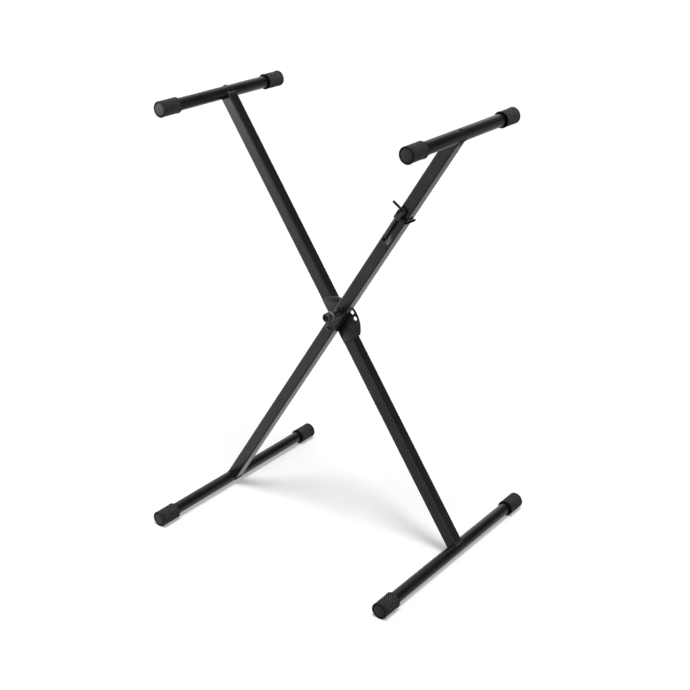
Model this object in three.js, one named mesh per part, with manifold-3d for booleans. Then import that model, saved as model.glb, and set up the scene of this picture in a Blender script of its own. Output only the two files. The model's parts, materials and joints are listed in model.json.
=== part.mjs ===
// A folding keyboard stand: two crossed square-tube arms that turn on one pivot bolt, a round bar
// across each arm end, rubber caps on the bars, and a sprung pin that locks the fold at five heights.
// Millimetres, +Z up. The origin lies on the floor, midway between the base bars, under the pivot.
import * as THREE from "three";
import { mergeVertices } from "three/addons/utils/BufferGeometryUtils.js";
import Module from "manifold-3d";

const wasm = await Module();
wasm.setup();

// ---- Driving dimensions ----
const GAP = 0.3; // clearance between two pieces that touch
const RUNNING_GAP = 0.6; // clearance of a piece that slides through another
const OVERRUN = 1; // how far a cutter runs past the face that it opens
const ROUND_SIDES = 24; // facets of a round piece
const BAR_SIDES = 32;
const SMALL_SIDES = 12;

const LOWER_ARM = 530; // pivot to base bar
const UPPER_ARM = 527; // pivot to top bar
const ARM_SIZE = 25.4; // square tube, across the flats
const ARM_WALL = 1.5;
const ARM_CORNER = 2.5;
const ARM_SPACING = 6.6; // between the two arms' facing sides

const BAR_DIAMETER = 25.4;
const BAR_WALL = 1.5;
const TOP_SPAN = 362; // over both end caps
const BASE_SPAN = 524;

const CAP_LENGTH = 47;
const CAP_SIDES = 20;
const CAP_END = 3; // thickness of a cap's closed end
const CAP_MOUTH = 3; // depth of the wider mouth
const CAP_MOUTH_STEP = 1.1; // how much wider the mouth is, on the radius
const TOP_CAP_WALL = 3.4; // around the bore
const BASE_CAP_WALL = 4.5;
const BASE_CAP_OFFSET = 1; // base caps are thicker on one side, so turning one levels the stand
const CAP_GROOVE_STEP = 0.5; // the groove's middle lies this far past the bar's radius
const CAP_GROOVE = 1; // width and depth
const CAP_DOME = 0.6; // height of the domed end
const CAP_EDGE = 1; // chamfer

const LOCK_RADIUS = 49.3; // pivot to lock pin
const LOCK_HOLES = 5;
const LOCK_PITCH = 16.2; // degrees between lock holes
const LOCK_HOLE_IN_USE = 2; // holes below the one that the pin faces
const LOCK_CLEARANCE = 0.5; // between the pin and a lock hole
const ARM_ANGLE = 56.5; // degrees from the floor to each arm

const PLATE_THICKNESS = 3;
const PLATE_RIM = 8.7; // plate past the middles of the lock holes
const PLATE_FIRST_ANGLE = -13; // degrees from +X, where the plate's round edge starts
const PLATE_TAIL = 47; // below the pivot, along the rear arm
const PLATE_INSET = 3; // from the rear arm's outer edge
const PLATE_CORNER = 5;

const PIVOT_DIAMETER = 8;
const SLEEVE_WALL = 2;
const PIVOT_HEAD_DIAMETER = 16.5;
const PIVOT_HEAD_HEIGHT = 2.6;
const PIVOT_SOCKET = 5; // across the flats
const SOCKET_FLOOR = 0.8; // metal left under a screw's socket
const CROWN_SHARE = 0.8; // width of a screw head's crown, of the whole head's
const SPACER_DIAMETER = 20;
const WASHER_DIAMETER = 17;
const WASHER_THICKNESS = 1.6;
const NUT_SIZE = 13; // across the flats
const NUT_HEIGHT = 7;
const NUT_HEX_HEIGHT = 5.2;
const NUT_COLLAR_DIAMETER = 11.2;
const BOLT_TAIL = 1.5; // thread past the nut

const SCREW_DIAMETER = 8;
const SCREW_HEAD_DIAMETER = 12;
const SCREW_HEAD_HEIGHT = 1.6;
const PLUG_LENGTH = 18;
const PLUG_SETBACK = 2; // from the bar's surface

const PIN_DIAMETER = 8;
const PIN_TRAVEL = 4.8;
const PIN_PASS = 1.2; // how far the engaged pin stands past the plate
const PIN_CHAMFER = 0.8;
const CROSS_PIN_DIAMETER = 3;
const CROSS_PIN_INSET = 2.2; // from the arm's inner sides
const BARREL_DIAMETER = 15.2;
const BARREL_WALL = 1.6;
const BARREL_HEIGHT = 22.4;
const BARREL_TOP = 2.2;
const FLANGE_DIAMETER = 11;
const FLANGE_THICKNESS = 2;
const FLANGE_HEIGHT = 6; // above the arm's front face
const COLLAR_DIAMETER = 20;
const COLLAR_THICKNESS = 4;
const KNOB_DIAMETER = 19.6;
const KNOB_HEIGHT = 12.7;
const KNOB_RECESS_DIAMETER = 12.5;
const KNOB_RECESS = 1.6;
const KNOB_EDGE = 1; // step of the rim
const KNOB_FACE = 4; // thickness over the pin's end

const TRIGGER_REACH = 329; // pivot to the trigger block's middle
const BLOCK_WIDTH = 14;
const BLOCK_LENGTH = 25;
const BLOCK_HEIGHT = 10;
const BLOCK_OFFSET = 4.4; // left of the arm's middle
const BLOCK_CORNER = 4;
const FINGER_DIAMETER = 5;
const FINGER_LIFT = 5.3; // axis above the arm's front face
const LEFT_SEAT = 7; // how deep each finger bar sits in the block
const RIGHT_SEAT = 3.6;
const LEFT_FINGER_RISE = 10; // above the block's middle
const LEFT_FINGER_TIP = 31; // left of the arm's middle
const FINGER_LEDGE = 3; // the block is cut down to the left finger's axis, from this far below it
const RIGHT_FINGER_DROP = 7.5; // below the block's middle
const RIGHT_FINGER_BEND = 6; // bend radius
const RIGHT_FINGER_PAST = 2; // past the arm's back face
const FINGER_SIDES = 10;
const FINGER_STEPS = 22; // stations along it
const GUIDE_SCREW_DIAMETER = 3;
const GUIDE_HEAD_DIAMETER = 5.6;
const GUIDE_HEAD_HEIGHT = 2;
const GUIDE_SIDE = 3; // left of the block's middle
const GUIDE_DROP = 0.5; // below the block's middle, with the trigger at rest

const ROD_DIAMETER = 4.6;
const ROD_BEND = 10;
const ROD_SLOPE = 45; // degrees, where the rod passes through the arm's wall
const ROD_ENTRY = 270; // pivot to where the rod starts to bend inwards
const ROD_SEAT = 6; // how deep the rod sits in the block and in the ramp
const ROD_LIFT = 3.1; // axis above the arm's front face, where the rod bends inwards
const ROD_TOP_LIFT = 6.2; // the same in the block
const ROD_SIDES = 8;
const ROD_STEPS = 72;

const RAMP_INSET = 1.5; // from the arm's inner sides
const RAMP_STRAP = 3;
const RAMP_FOOT = 5; // height of the ramp's thick end
const RAMP_RUN = 8; // slope below the pin
const RAMP_TOP = 22; // above the pin
const RAMP_BRIDGE = 10;

// ---- Worked out from them ----
const TILT = THREE.MathUtils.degToRad(90 - ARM_ANGLE);
const BAR_RADIUS = BAR_DIAMETER / 2;
const TOP_CAP_DIAMETER = BAR_DIAMETER + 2 * (GAP + TOP_CAP_WALL);
const BASE_CAP_DIAMETER = BAR_DIAMETER + 2 * (GAP + BASE_CAP_WALL);
const CAP_GROOVE_RADIUS = BAR_RADIUS + CAP_GROOVE_STEP;
const HALF_ARM = ARM_SIZE / 2;
const ARM_SIDE = (ARM_SIZE + ARM_SPACING) / 2; // from y = 0 to each arm's middle
const FRONT_FACE = -ARM_SIDE - HALF_ARM; // y of the front arm's front
const FRONT_BACK = -ARM_SPACING / 2; // y of the front arm's back
const REAR_FRONT = ARM_SPACING / 2;
const REAR_BACK = ARM_SIDE + HALF_ARM;
const BASE_BAR_HEIGHT = BASE_CAP_DIAMETER / 2 + BASE_CAP_OFFSET;
const PIVOT_HEIGHT = BASE_BAR_HEIGHT + LOWER_ARM * Math.cos(TILT);
const PLATE_BACK = REAR_FRONT - GAP;
const PLATE_FRONT = PLATE_BACK - PLATE_THICKNESS;
const PIN_TIP = PLATE_BACK + PIN_PASS - PIN_TRAVEL; // y of the drawn pin's tip
const COLLAR_HEIGHT = BARREL_HEIGHT + PIN_TRAVEL + RUNNING_GAP; // above the front face
const KNOB_BASE = COLLAR_HEIGHT + COLLAR_THICKNESS + GAP;
const SLEEVE_DIAMETER = PIVOT_DIAMETER + 2 * (GAP + SLEEVE_WALL);
const LOCK_BORE = PIN_DIAMETER + 2 * LOCK_CLEARANCE;
const PLATE_RADIUS = LOCK_RADIUS + PLATE_RIM;
const INNER_ARM = ARM_SIZE - 2 * ARM_WALL;
const CROSS_PIN_LENGTH = INNER_ARM - 2 * CROSS_PIN_INSET;
const RAMP_WIDTH = INNER_ARM - 2 * RAMP_INSET;

// ---- Materials ----
const finishes = {
  satinBlack: { color: 0x161618, roughness: 0.42, metalness: 0.35 },
  rubber: { color: 0x1b1b1c, roughness: 0.82, metalness: 0 },
  blackSteel: { color: 0x242427, roughness: 0.38, metalness: 0.8 },
  brightSteel: { color: 0xb9bbbd, roughness: 0.25, metalness: 1 },
  plainSteel: { color: 0x8e9092, roughness: 0.4, metalness: 0.9 },
  moulded: { color: 0x1d1d1f, roughness: 0.55, metalness: 0 },
};

// ---- Shapes ----
// A closed geometry as a manifold-3d solid.
function solid(geometry) {
  const bare = geometry.index ? geometry.toNonIndexed() : geometry.clone();
  bare.deleteAttribute("normal");
  bare.deleteAttribute("uv");
  const merged = mergeVertices(bare, 1e-4);
  return new wasm.Manifold(
    new wasm.Mesh({
      numProp: 3,
      vertProperties: merged.attributes.position.array,
      triVerts: new Uint32Array(merged.index.array),
    }),
  );
}

// A manifold-3d solid as a geometry that three.js shades.
function surface(body) {
  const mesh = body.getMesh();
  const points = new Float32Array(mesh.numVert * 3);
  for (let i = 0; i < mesh.numVert; i += 1) {
    points.set(mesh.vertProperties.subarray(i * mesh.numProp, i * mesh.numProp + 3), i * 3);
  }
  const geometry = new THREE.BufferGeometry();
  geometry.setAttribute("position", new THREE.BufferAttribute(points, 3));
  geometry.setIndex(new THREE.BufferAttribute(mesh.triVerts, 1));
  const flat = geometry.toNonIndexed();
  flat.computeVertexNormals();
  return flat;
}

function cut(geometry, ...tools) {
  return surface(tools.reduce((body, tool) => body.subtract(solid(tool)), solid(geometry)));
}

function join(...geometries) {
  return surface(geometries.map(solid).reduce((body, next) => body.add(next)));
}

// A round bore whose flats, not its corners, lie at the given diameter.
function boreRadius(diameter, sides) {
  return diameter / 2 / Math.cos(Math.PI / sides);
}

// A round rod along Y, between two values of y.
function rodY(diameter, from, to, sides = ROUND_SIDES) {
  const length = to - from;
  const radius = diameter / 2;
  return new THREE.CylinderGeometry(radius, radius, length, sides).translate(0, from + length / 2, 0);
}

// A cutter for a round bore along Y.
function boreY(diameter, from, to, sides = ROUND_SIDES) {
  return rodY(2 * boreRadius(diameter, sides), from, to, sides);
}

// The same along Z.
function rodZ(diameter, from, to, sides = ROUND_SIDES) {
  return rodY(diameter, from, to, sides).rotateX(Math.PI / 2);
}

function boreZ(diameter, from, to, sides = ROUND_SIDES) {
  return boreY(diameter, from, to, sides).rotateX(Math.PI / 2);
}

// A box between two corners.
function block(x0, x1, y0, y1, z0, z1) {
  const box = new THREE.BoxGeometry(x1 - x0, y1 - y0, z1 - z0);
  return box.translate((x0 + x1) / 2, (y0 + y1) / 2, (z0 + z1) / 2);
}

function roundedSquare(size, corner) {
  const half = size / 2;
  const flat = half - corner;
  const shape = new THREE.Shape();
  shape.moveTo(-flat, -half);
  shape.lineTo(flat, -half);
  shape.absarc(flat, -flat, corner, -Math.PI / 2, 0);
  shape.absarc(flat, flat, corner, 0, Math.PI / 2);
  shape.absarc(-flat, flat, corner, Math.PI / 2, Math.PI);
  shape.absarc(-flat, -flat, corner, Math.PI, 1.5 * Math.PI);
  shape.closePath();
  return shape;
}

// A washer, sleeve or ring along Y.
function ringY(outer, inner, from, to, sides = ROUND_SIDES) {
  return cut(rodY(outer, from, to, sides), boreY(inner, from - OVERRUN, to + OVERRUN, sides));
}

// A hexagonal prism along Y, by its size across the flats.
function hexY(size, from, to) {
  return rodY(size / Math.cos(Math.PI / 6), from, to, 6);
}

// ---- Frame pieces. An arm lies along its own Z, with the pivot at z = 0. ----
function armTube(side, ...cuts) {
  const section = roundedSquare(ARM_SIZE, ARM_CORNER);
  section.holes.push(roundedSquare(INNER_ARM, ARM_CORNER - ARM_WALL));
  const length = LOWER_ARM + UPPER_ARM;
  const tube = new THREE.ExtrudeGeometry(section, { depth: length, bevelEnabled: false, curveSegments: 3 });
  tube.translate(0, side, -LOWER_ARM);
  const saddle = BAR_DIAMETER + 2 * GAP;
  const reach = ARM_SIDE + ARM_SIZE;
  const ends = [-LOWER_ARM, UPPER_ARM].map((z) => boreY(saddle, -reach, reach, BAR_SIDES).translate(0, 0, z));
  const sleeveBore = boreY(SLEEVE_DIAMETER + 2 * GAP, -reach, reach);
  return cut(tube, ...ends, sleeveBore, ...cuts);
}

function barTube(span, ...cuts) {
  const end = span / 2 - CAP_END - GAP;
  const bar = rodY(BAR_DIAMETER, -end, end, BAR_SIDES);
  const inside = rodY(BAR_DIAMETER - 2 * BAR_WALL, -end - OVERRUN, end + OVERRUN, BAR_SIDES);
  return cut(bar, inside, ...cuts);
}

// A cap with its closed end at y = 0 and its mouth towards +Y. Its flats lie at the diameter, one of
// them facing down and one up. The bore stays on the bar, above the outside's centre by the offset.
function endCap(diameter, offset) {
  const flats = 1 / Math.cos(Math.PI / CAP_SIDES);
  const radius = diameter / 2;
  const inner = CAP_GROOVE_RADIUS - CAP_GROOVE / 2;
  const outer = CAP_GROOVE_RADIUS + CAP_GROOVE / 2;
  const outline = [
    [0, 0],
    [inner, CAP_DOME],
    [inner, CAP_DOME + CAP_GROOVE],
    [outer, CAP_DOME + CAP_GROOVE],
    [outer, CAP_DOME],
    [radius - CAP_EDGE, CAP_DOME],
    [radius, CAP_DOME + CAP_EDGE],
    [radius, CAP_LENGTH - CAP_EDGE],
    [radius - CAP_EDGE, CAP_LENGTH],
    [0, CAP_LENGTH],
  ];
  const profile = outline.map(([r, y]) => new THREE.Vector2(r * flats, y));
  const body = new THREE.LatheGeometry(profile, CAP_SIDES, Math.PI / CAP_SIDES).translate(0, 0, -offset);
  const bore = boreY(BAR_DIAMETER + 2 * GAP, CAP_END, CAP_LENGTH + OVERRUN);
  const mouth = BAR_DIAMETER + 2 * (GAP + CAP_MOUTH_STEP);
  return cut(body, bore, boreY(mouth, CAP_LENGTH - CAP_MOUTH, CAP_LENGTH + OVERRUN));
}

function lockPlate() {
  const axis = Math.PI / 2 + TILT; // direction of the rear arm, in the plate's plane
  const along = new THREE.Vector2(Math.cos(axis), Math.sin(axis));
  const across = new THREE.Vector2(-along.y, along.x);
  const side = HALF_ARM - PLATE_INSET;
  const at = (u, v) => along.clone().multiplyScalar(u).addScaledVector(across, v);
  const first = THREE.MathUtils.degToRad(PLATE_FIRST_ANGLE);
  const last = axis + Math.asin(side / PLATE_RADIUS);
  const start = new THREE.Vector2(Math.cos(first), Math.sin(first)).multiplyScalar(PLATE_RADIUS);
  const corner = at(-PLATE_TAIL, side);
  const toStart = start.clone().sub(corner).normalize();
  const before = corner.clone().addScaledVector(along, PLATE_CORNER);
  const after = corner.clone().addScaledVector(toStart, PLATE_CORNER);
  const shape = new THREE.Shape();
  shape.absarc(0, 0, PLATE_RADIUS, first, last);
  shape.lineTo(before.x, before.y);
  shape.quadraticCurveTo(corner.x, corner.y, after.x, after.y);
  shape.closePath();
  const options = { depth: PLATE_THICKNESS, bevelEnabled: false, curveSegments: 18 };
  // The outline's y becomes z, and the depth runs from the plate's back to its front.
  const plate = new THREE.ExtrudeGeometry(shape, options).rotateX(Math.PI / 2).translate(0, PLATE_BACK, 0);
  const through = [PLATE_FRONT - OVERRUN, PLATE_BACK + OVERRUN];
  const holes = Array.from({ length: LOCK_HOLES }, (_, i) => {
    const angle = THREE.MathUtils.degToRad(ARM_ANGLE + (i - LOCK_HOLE_IN_USE) * LOCK_PITCH);
    const hole = boreY(LOCK_BORE, ...through);
    return hole.translate(LOCK_RADIUS * Math.cos(angle), 0, LOCK_RADIUS * Math.sin(angle));
  });
  return cut(plate, boreY(PIVOT_DIAMETER + 2 * GAP, ...through), ...holes);
}

// ---- Pivot pieces, along Y through x = 0, z = 0 ----
const WASHER_FROM = REAR_BACK + GAP;
const NUT_FROM = WASHER_FROM + WASHER_THICKNESS + GAP;
const PIVOT_BORE = PIVOT_DIAMETER + 2 * GAP;

function pivotBolt() {
  const seat = FRONT_FACE - GAP;
  const end = NUT_FROM + NUT_HEIGHT + BOLT_TAIL;
  const flange = rodY(PIVOT_HEAD_DIAMETER, seat - PIVOT_HEAD_HEIGHT / 2, seat);
  const crown = rodY(PIVOT_HEAD_DIAMETER * CROWN_SHARE, seat - PIVOT_HEAD_HEIGHT, seat);
  const shank = rodY(PIVOT_DIAMETER, seat - PIVOT_HEAD_HEIGHT / 4, end);
  const socket = hexY(PIVOT_SOCKET, seat - PIVOT_HEAD_HEIGHT - OVERRUN, seat - SOCKET_FLOOR);
  return cut(join(flange, crown, shank), socket);
}

function pivotSleeve(from, to) {
  return ringY(SLEEVE_DIAMETER, PIVOT_BORE, from, to);
}

function lockNut() {
  const end = NUT_FROM + NUT_HEIGHT;
  const collar = rodY(NUT_COLLAR_DIAMETER, NUT_FROM + NUT_HEX_HEIGHT / 2, end);
  const nut = join(hexY(NUT_SIZE, NUT_FROM, NUT_FROM + NUT_HEX_HEIGHT), collar);
  return cut(nut, boreY(PIVOT_BORE, NUT_FROM - OVERRUN, end + OVERRUN));
}

// ---- Bar screws and the plugs that they screw into, along the arm's Z ----
const PLUG_TOP = UPPER_ARM - BAR_RADIUS - GAP - PLUG_SETBACK;
const PLUG_BOTTOM = PLUG_TOP - PLUG_LENGTH;

function barScrew(side) {
  const seat = UPPER_ARM + BAR_RADIUS + GAP;
  const top = seat + SCREW_HEAD_HEIGHT;
  const rim = rodZ(SCREW_HEAD_DIAMETER, seat, seat + SCREW_HEAD_HEIGHT / 2);
  const crown = rodZ(SCREW_HEAD_DIAMETER * CROWN_SHARE, seat, top);
  const shank = rodZ(SCREW_DIAMETER, PLUG_BOTTOM - OVERRUN, seat + SCREW_HEAD_HEIGHT / 4);
  const socket = hexY(PIVOT_SOCKET, seat + SOCKET_FLOOR, top + OVERRUN).rotateX(Math.PI / 2);
  return cut(join(rim, crown, shank), socket).translate(0, side, 0);
}

function armPlug(side) {
  const section = roundedSquare(INNER_ARM - 2 * GAP, ARM_CORNER - ARM_WALL);
  const options = { depth: PLUG_LENGTH, bevelEnabled: false, curveSegments: 3 };
  const plug = new THREE.ExtrudeGeometry(section, options).translate(0, side, PLUG_BOTTOM);
  const bore = boreZ(SCREW_DIAMETER + 2 * GAP, PLUG_BOTTOM - OVERRUN, PLUG_TOP + OVERRUN);
  return cut(plug, bore.translate(0, side, 0));
}

function screwHole(side) {
  const reach = BAR_DIAMETER;
  return boreZ(SCREW_DIAMETER + 2 * GAP, -reach, reach).translate(0, side, 0);
}

// ---- Lock pin and its pull, along Y at the lock radius. y runs from the front arm's face. ----
function lifted(height) {
  return FRONT_FACE - height;
}

function lockBarrel() {
  const outside = rodY(BARREL_DIAMETER, lifted(BARREL_HEIGHT), lifted(GAP));
  const chamber = BARREL_DIAMETER - 2 * BARREL_WALL;
  const shank = PIN_DIAMETER + 2 * GAP;
  return cut(
    outside,
    boreY(chamber, lifted(BARREL_HEIGHT - BARREL_TOP), lifted(-OVERRUN)),
    boreY(shank, lifted(BARREL_HEIGHT + OVERRUN), lifted(0)),
  );
}

function lockPin() {
  const end = lifted(KNOB_BASE + KNOB_HEIGHT - KNOB_FACE - GAP);
  const shank = rodY(PIN_DIAMETER, end, PIN_TIP - PIN_CHAMFER);
  const radius = PIN_DIAMETER / 2;
  const nose = new THREE.CylinderGeometry(radius - PIN_CHAMFER, radius, PIN_CHAMFER, ROUND_SIDES);
  nose.translate(0, PIN_TIP - PIN_CHAMFER / 2, 0);
  const flange = rodY(FLANGE_DIAMETER, lifted(FLANGE_HEIGHT + FLANGE_THICKNESS), lifted(FLANGE_HEIGHT));
  const cross = boreZ(CROSS_PIN_DIAMETER + 2 * GAP, -PIN_DIAMETER, PIN_DIAMETER, SMALL_SIDES);
  cross.rotateY(Math.PI / 2).translate(0, -ARM_SIDE, 0);
  return cut(join(shank, nose, flange), cross);
}

function crossPin() {
  const half = CROSS_PIN_LENGTH / 2;
  return rodZ(CROSS_PIN_DIAMETER, -half, half, SMALL_SIDES).rotateY(Math.PI / 2).translate(0, -ARM_SIDE, 0);
}

function pinSpring() {
  const from = lifted(BARREL_HEIGHT - BARREL_TOP - GAP);
  const to = lifted(FLANGE_HEIGHT + FLANGE_THICKNESS + GAP);
  const outer = BARREL_DIAMETER - 2 * (BARREL_WALL + GAP);
  return ringY(outer, PIN_DIAMETER + 2 * GAP, from, to);
}

function pullCollar() {
  const from = lifted(COLLAR_HEIGHT + COLLAR_THICKNESS);
  return ringY(COLLAR_DIAMETER, PIN_DIAMETER + 2 * GAP, from, lifted(COLLAR_HEIGHT));
}

function pullKnob() {
  const top = KNOB_BASE + KNOB_HEIGHT;
  const body = rodY(KNOB_DIAMETER, lifted(top - KNOB_EDGE), lifted(KNOB_BASE));
  const rim = rodY(KNOB_DIAMETER - 2 * KNOB_EDGE, lifted(top), lifted(top - 2 * KNOB_EDGE));
  const seat = boreY(PIN_DIAMETER + 2 * GAP, lifted(top - KNOB_FACE), lifted(KNOB_BASE - OVERRUN));
  const recess = rodY(KNOB_RECESS_DIAMETER, lifted(top + OVERRUN), lifted(top - KNOB_RECESS));
  return cut(join(body, rim), seat, recess);
}

// ---- Trigger on the front arm's face, in the block's own frame: x and z run from its middle ----
function triggerBlock() {
  const side = BLOCK_WIDTH / 2;
  const half = BLOCK_LENGTH / 2;
  const shape = new THREE.Shape();
  shape.moveTo(-side, -half);
  shape.lineTo(side - BLOCK_CORNER, -half);
  shape.absarc(side - BLOCK_CORNER, -half + BLOCK_CORNER, BLOCK_CORNER, -Math.PI / 2, 0);
  shape.absarc(side - BLOCK_CORNER, half - BLOCK_CORNER, BLOCK_CORNER, 0, Math.PI / 2);
  shape.lineTo(-side, half);
  shape.closePath();
  const options = { depth: BLOCK_HEIGHT, bevelEnabled: false, curveSegments: 6 };
  const body = new THREE.ExtrudeGeometry(shape, options).rotateX(Math.PI / 2);
  const fingerBore = FINGER_DIAMETER + 2 * GAP;
  const leftBore = boreZ(fingerBore, -side - OVERRUN, -side + LEFT_SEAT, SMALL_SIDES).rotateY(Math.PI / 2);
  const rightBore = boreZ(fingerBore, side - RIGHT_SEAT, side + OVERRUN, SMALL_SIDES).rotateY(Math.PI / 2);
  const rodBore = boreZ(ROD_DIAMETER + 2 * RUNNING_GAP, -half - OVERRUN, -half + ROD_SEAT, SMALL_SIDES);
  const ledge = [-side - OVERRUN, side + OVERRUN, lifted(BLOCK_HEIGHT + GAP + OVERRUN), lifted(FINGER_LIFT)];
  const slot = GUIDE_SCREW_DIAMETER + 2 * GAP;
  const through = [lifted(BLOCK_HEIGHT + GAP + OVERRUN), lifted(-OVERRUN)];
  const slotEnds = [-GUIDE_DROP, PIN_TRAVEL - GUIDE_DROP].map((z) =>
    boreY(slot, ...through, SMALL_SIDES).translate(-GUIDE_SIDE, 0, z),
  );
  const slotLeft = -GUIDE_SIDE - slot / 2;
  const slotMiddle = block(slotLeft, slotLeft + slot, ...through, -GUIDE_DROP, PIN_TRAVEL - GUIDE_DROP);
  return cut(
    body.translate(0, lifted(GAP), 0),
    leftBore.translate(0, lifted(FINGER_LIFT), LEFT_FINGER_RISE),
    rightBore.translate(0, lifted(FINGER_LIFT), -RIGHT_FINGER_DROP),
    rodBore.translate(0, lifted(ROD_TOP_LIFT), 0),
    block(...ledge, LEFT_FINGER_RISE - FINGER_LEDGE, half + OVERRUN),
    ...slotEnds,
    slotMiddle,
  );
}

function guideScrew() {
  const seat = BLOCK_HEIGHT + 2 * GAP;
  const middle = lifted(seat + GUIDE_HEAD_HEIGHT / 2);
  const head = rodY(GUIDE_HEAD_DIAMETER, lifted(seat + GUIDE_HEAD_HEIGHT), lifted(seat), SMALL_SIDES);
  const shank = rodY(GUIDE_SCREW_DIAMETER, middle, lifted(-2 * ARM_WALL), SMALL_SIDES);
  return join(head, shank).translate(-GUIDE_SIDE, 0, -GUIDE_DROP);
}

// A rod swept along straight runs that meet in bends of one radius.
function bentRod(diameter, corners, radius, steps, sides) {
  const path = new THREE.CurvePath();
  let from = corners[0];
  for (let i = 1; i < corners.length - 1; i += 1) {
    const corner = corners[i];
    const back = corners[i - 1].clone().sub(corner).normalize();
    const on = corners[i + 1].clone().sub(corner).normalize();
    const reach = radius / Math.tan(back.angleTo(on) / 2);
    const enter = corner.clone().addScaledVector(back, reach);
    const leave = corner.clone().addScaledVector(on, reach);
    path.add(new THREE.LineCurve3(from, enter));
    path.add(new THREE.QuadraticBezierCurve3(enter, corner, leave));
    from = leave;
  }
  path.add(new THREE.LineCurve3(from, corners[corners.length - 1]));
  const section = new THREE.Shape();
  section.absarc(0, 0, diameter / 2, 0, 2 * Math.PI);
  // A full circle takes two points for each curve segment.
  const options = { steps, extrudePath: path, bevelEnabled: false, curveSegments: sides / 2 };
  return new THREE.ExtrudeGeometry(section, options);
}

function leftFinger() {
  const radius = FINGER_DIAMETER / 2;
  const from = -LEFT_FINGER_TIP + BLOCK_OFFSET + radius;
  const to = -BLOCK_WIDTH / 2 + LEFT_SEAT - GAP;
  const bar = rodZ(FINGER_DIAMETER, from, to, SMALL_SIDES).rotateY(Math.PI / 2);
  const tip = new THREE.SphereGeometry(radius, SMALL_SIDES, SMALL_SIDES / 2).rotateZ(Math.PI / 2);
  tip.translate(from, 0, 0);
  return join(bar, tip).translate(0, lifted(FINGER_LIFT), LEFT_FINGER_RISE);
}

function rightFinger() {
  const y = lifted(FINGER_LIFT);
  const side = BLOCK_OFFSET + HALF_ARM + RUNNING_GAP + FINGER_DIAMETER / 2;
  const corners = [
    new THREE.Vector3(BLOCK_WIDTH / 2 - RIGHT_SEAT + GAP, y, -RIGHT_FINGER_DROP),
    new THREE.Vector3(side, y, -RIGHT_FINGER_DROP),
    new THREE.Vector3(side, FRONT_BACK + RIGHT_FINGER_PAST, -RIGHT_FINGER_DROP),
  ];
  return bentRod(FINGER_DIAMETER, corners, RIGHT_FINGER_BEND, FINGER_STEPS, FINGER_SIDES);
}

// ---- Pull rod and ramp, in the arm's frame. The ramp lifts the cross pin as the rod pulls it up. ----
const RAMP_HEAD = LOCK_RADIUS + RAMP_TOP;
const ROD_RUN = Math.tan(THREE.MathUtils.degToRad(90 - ROD_SLOPE)); // along the arm, for 1 mm inwards

function pullRod() {
  const x = -BLOCK_OFFSET;
  const outside = lifted(ROD_LIFT);
  const bendReach = ROD_BEND * Math.tan(THREE.MathUtils.degToRad(ROD_SLOPE / 2));
  const firstBend = ROD_ENTRY - bendReach;
  const lastBend = firstBend - (-ARM_SIDE - outside) * ROD_RUN;
  const top = TRIGGER_REACH - BLOCK_LENGTH / 2 + ROD_SEAT - GAP;
  const corners = [
    new THREE.Vector3(x, lifted(ROD_TOP_LIFT), top),
    new THREE.Vector3(x, outside, firstBend),
    new THREE.Vector3(x, -ARM_SIDE, lastBend),
    new THREE.Vector3(x, -ARM_SIDE, RAMP_HEAD - ROD_SEAT + GAP),
  ];
  return bentRod(ROD_DIAMETER, corners, ROD_BEND, ROD_STEPS, ROD_SIDES);
}

// The opening in the arm's front wall, where the rod passes through and slides.
function rodSlot() {
  const width = ROD_DIAMETER + 2 * RUNNING_GAP;
  const through = ROD_LIFT + ARM_WALL + ROD_DIAMETER;
  const top = ROD_ENTRY;
  const bottom = ROD_ENTRY - through * ROD_RUN - PIN_TRAVEL - RUNNING_GAP;
  const depth = [lifted(OVERRUN), lifted(-2 * ARM_WALL)];
  const x = -BLOCK_OFFSET;
  return [
    boreY(width, ...depth, SMALL_SIDES).translate(x, 0, top),
    boreY(width, ...depth, SMALL_SIDES).translate(x, 0, bottom),
    block(x - width / 2, x + width / 2, ...depth, bottom, top),
  ];
}

function releaseRamp() {
  const back = FRONT_BACK - ARM_WALL - RUNNING_GAP;
  const strap = back - RAMP_STRAP;
  const bridge = -ARM_SIDE - ROD_DIAMETER;
  const touch = -ARM_SIDE + (CROSS_PIN_DIAMETER / 2 + GAP) * Math.SQRT2; // the slope's y beside the pin
  const foot = LOCK_RADIUS - RAMP_RUN;
  const shape = new THREE.Shape([
    new THREE.Vector2(back, foot - RAMP_FOOT),
    new THREE.Vector2(back, RAMP_HEAD),
    new THREE.Vector2(bridge, RAMP_HEAD),
    new THREE.Vector2(bridge, RAMP_HEAD - RAMP_BRIDGE),
    new THREE.Vector2(strap, RAMP_HEAD - RAMP_BRIDGE),
    new THREE.Vector2(strap, LOCK_RADIUS + strap - touch),
    new THREE.Vector2(touch - RAMP_RUN, foot),
    new THREE.Vector2(touch - RAMP_RUN, foot - RAMP_FOOT),
  ]);
  const side = new THREE.ExtrudeGeometry(shape, { depth: RAMP_WIDTH, bevelEnabled: false });
  const turn = new THREE.Matrix4().makeBasis(
    new THREE.Vector3(0, 1, 0),
    new THREE.Vector3(0, 0, 1),
    new THREE.Vector3(1, 0, 0),
  );
  side.applyMatrix4(turn).translate(-RAMP_WIDTH / 2, 0, 0);
  const half = PIN_DIAMETER / 2 + RUNNING_GAP;
  const slotTop = LOCK_RADIUS + PIN_TRAVEL + half;
  const slot = block(-half, half, bridge - OVERRUN, back + OVERRUN, foot - RAMP_FOOT - OVERRUN, slotTop);
  const seat = boreZ(ROD_DIAMETER + 2 * GAP, RAMP_HEAD - ROD_SEAT, RAMP_HEAD + OVERRUN, SMALL_SIDES);
  return cut(side, slot, seat.translate(-BLOCK_OFFSET, -ARM_SIDE, 0));
}

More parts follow.
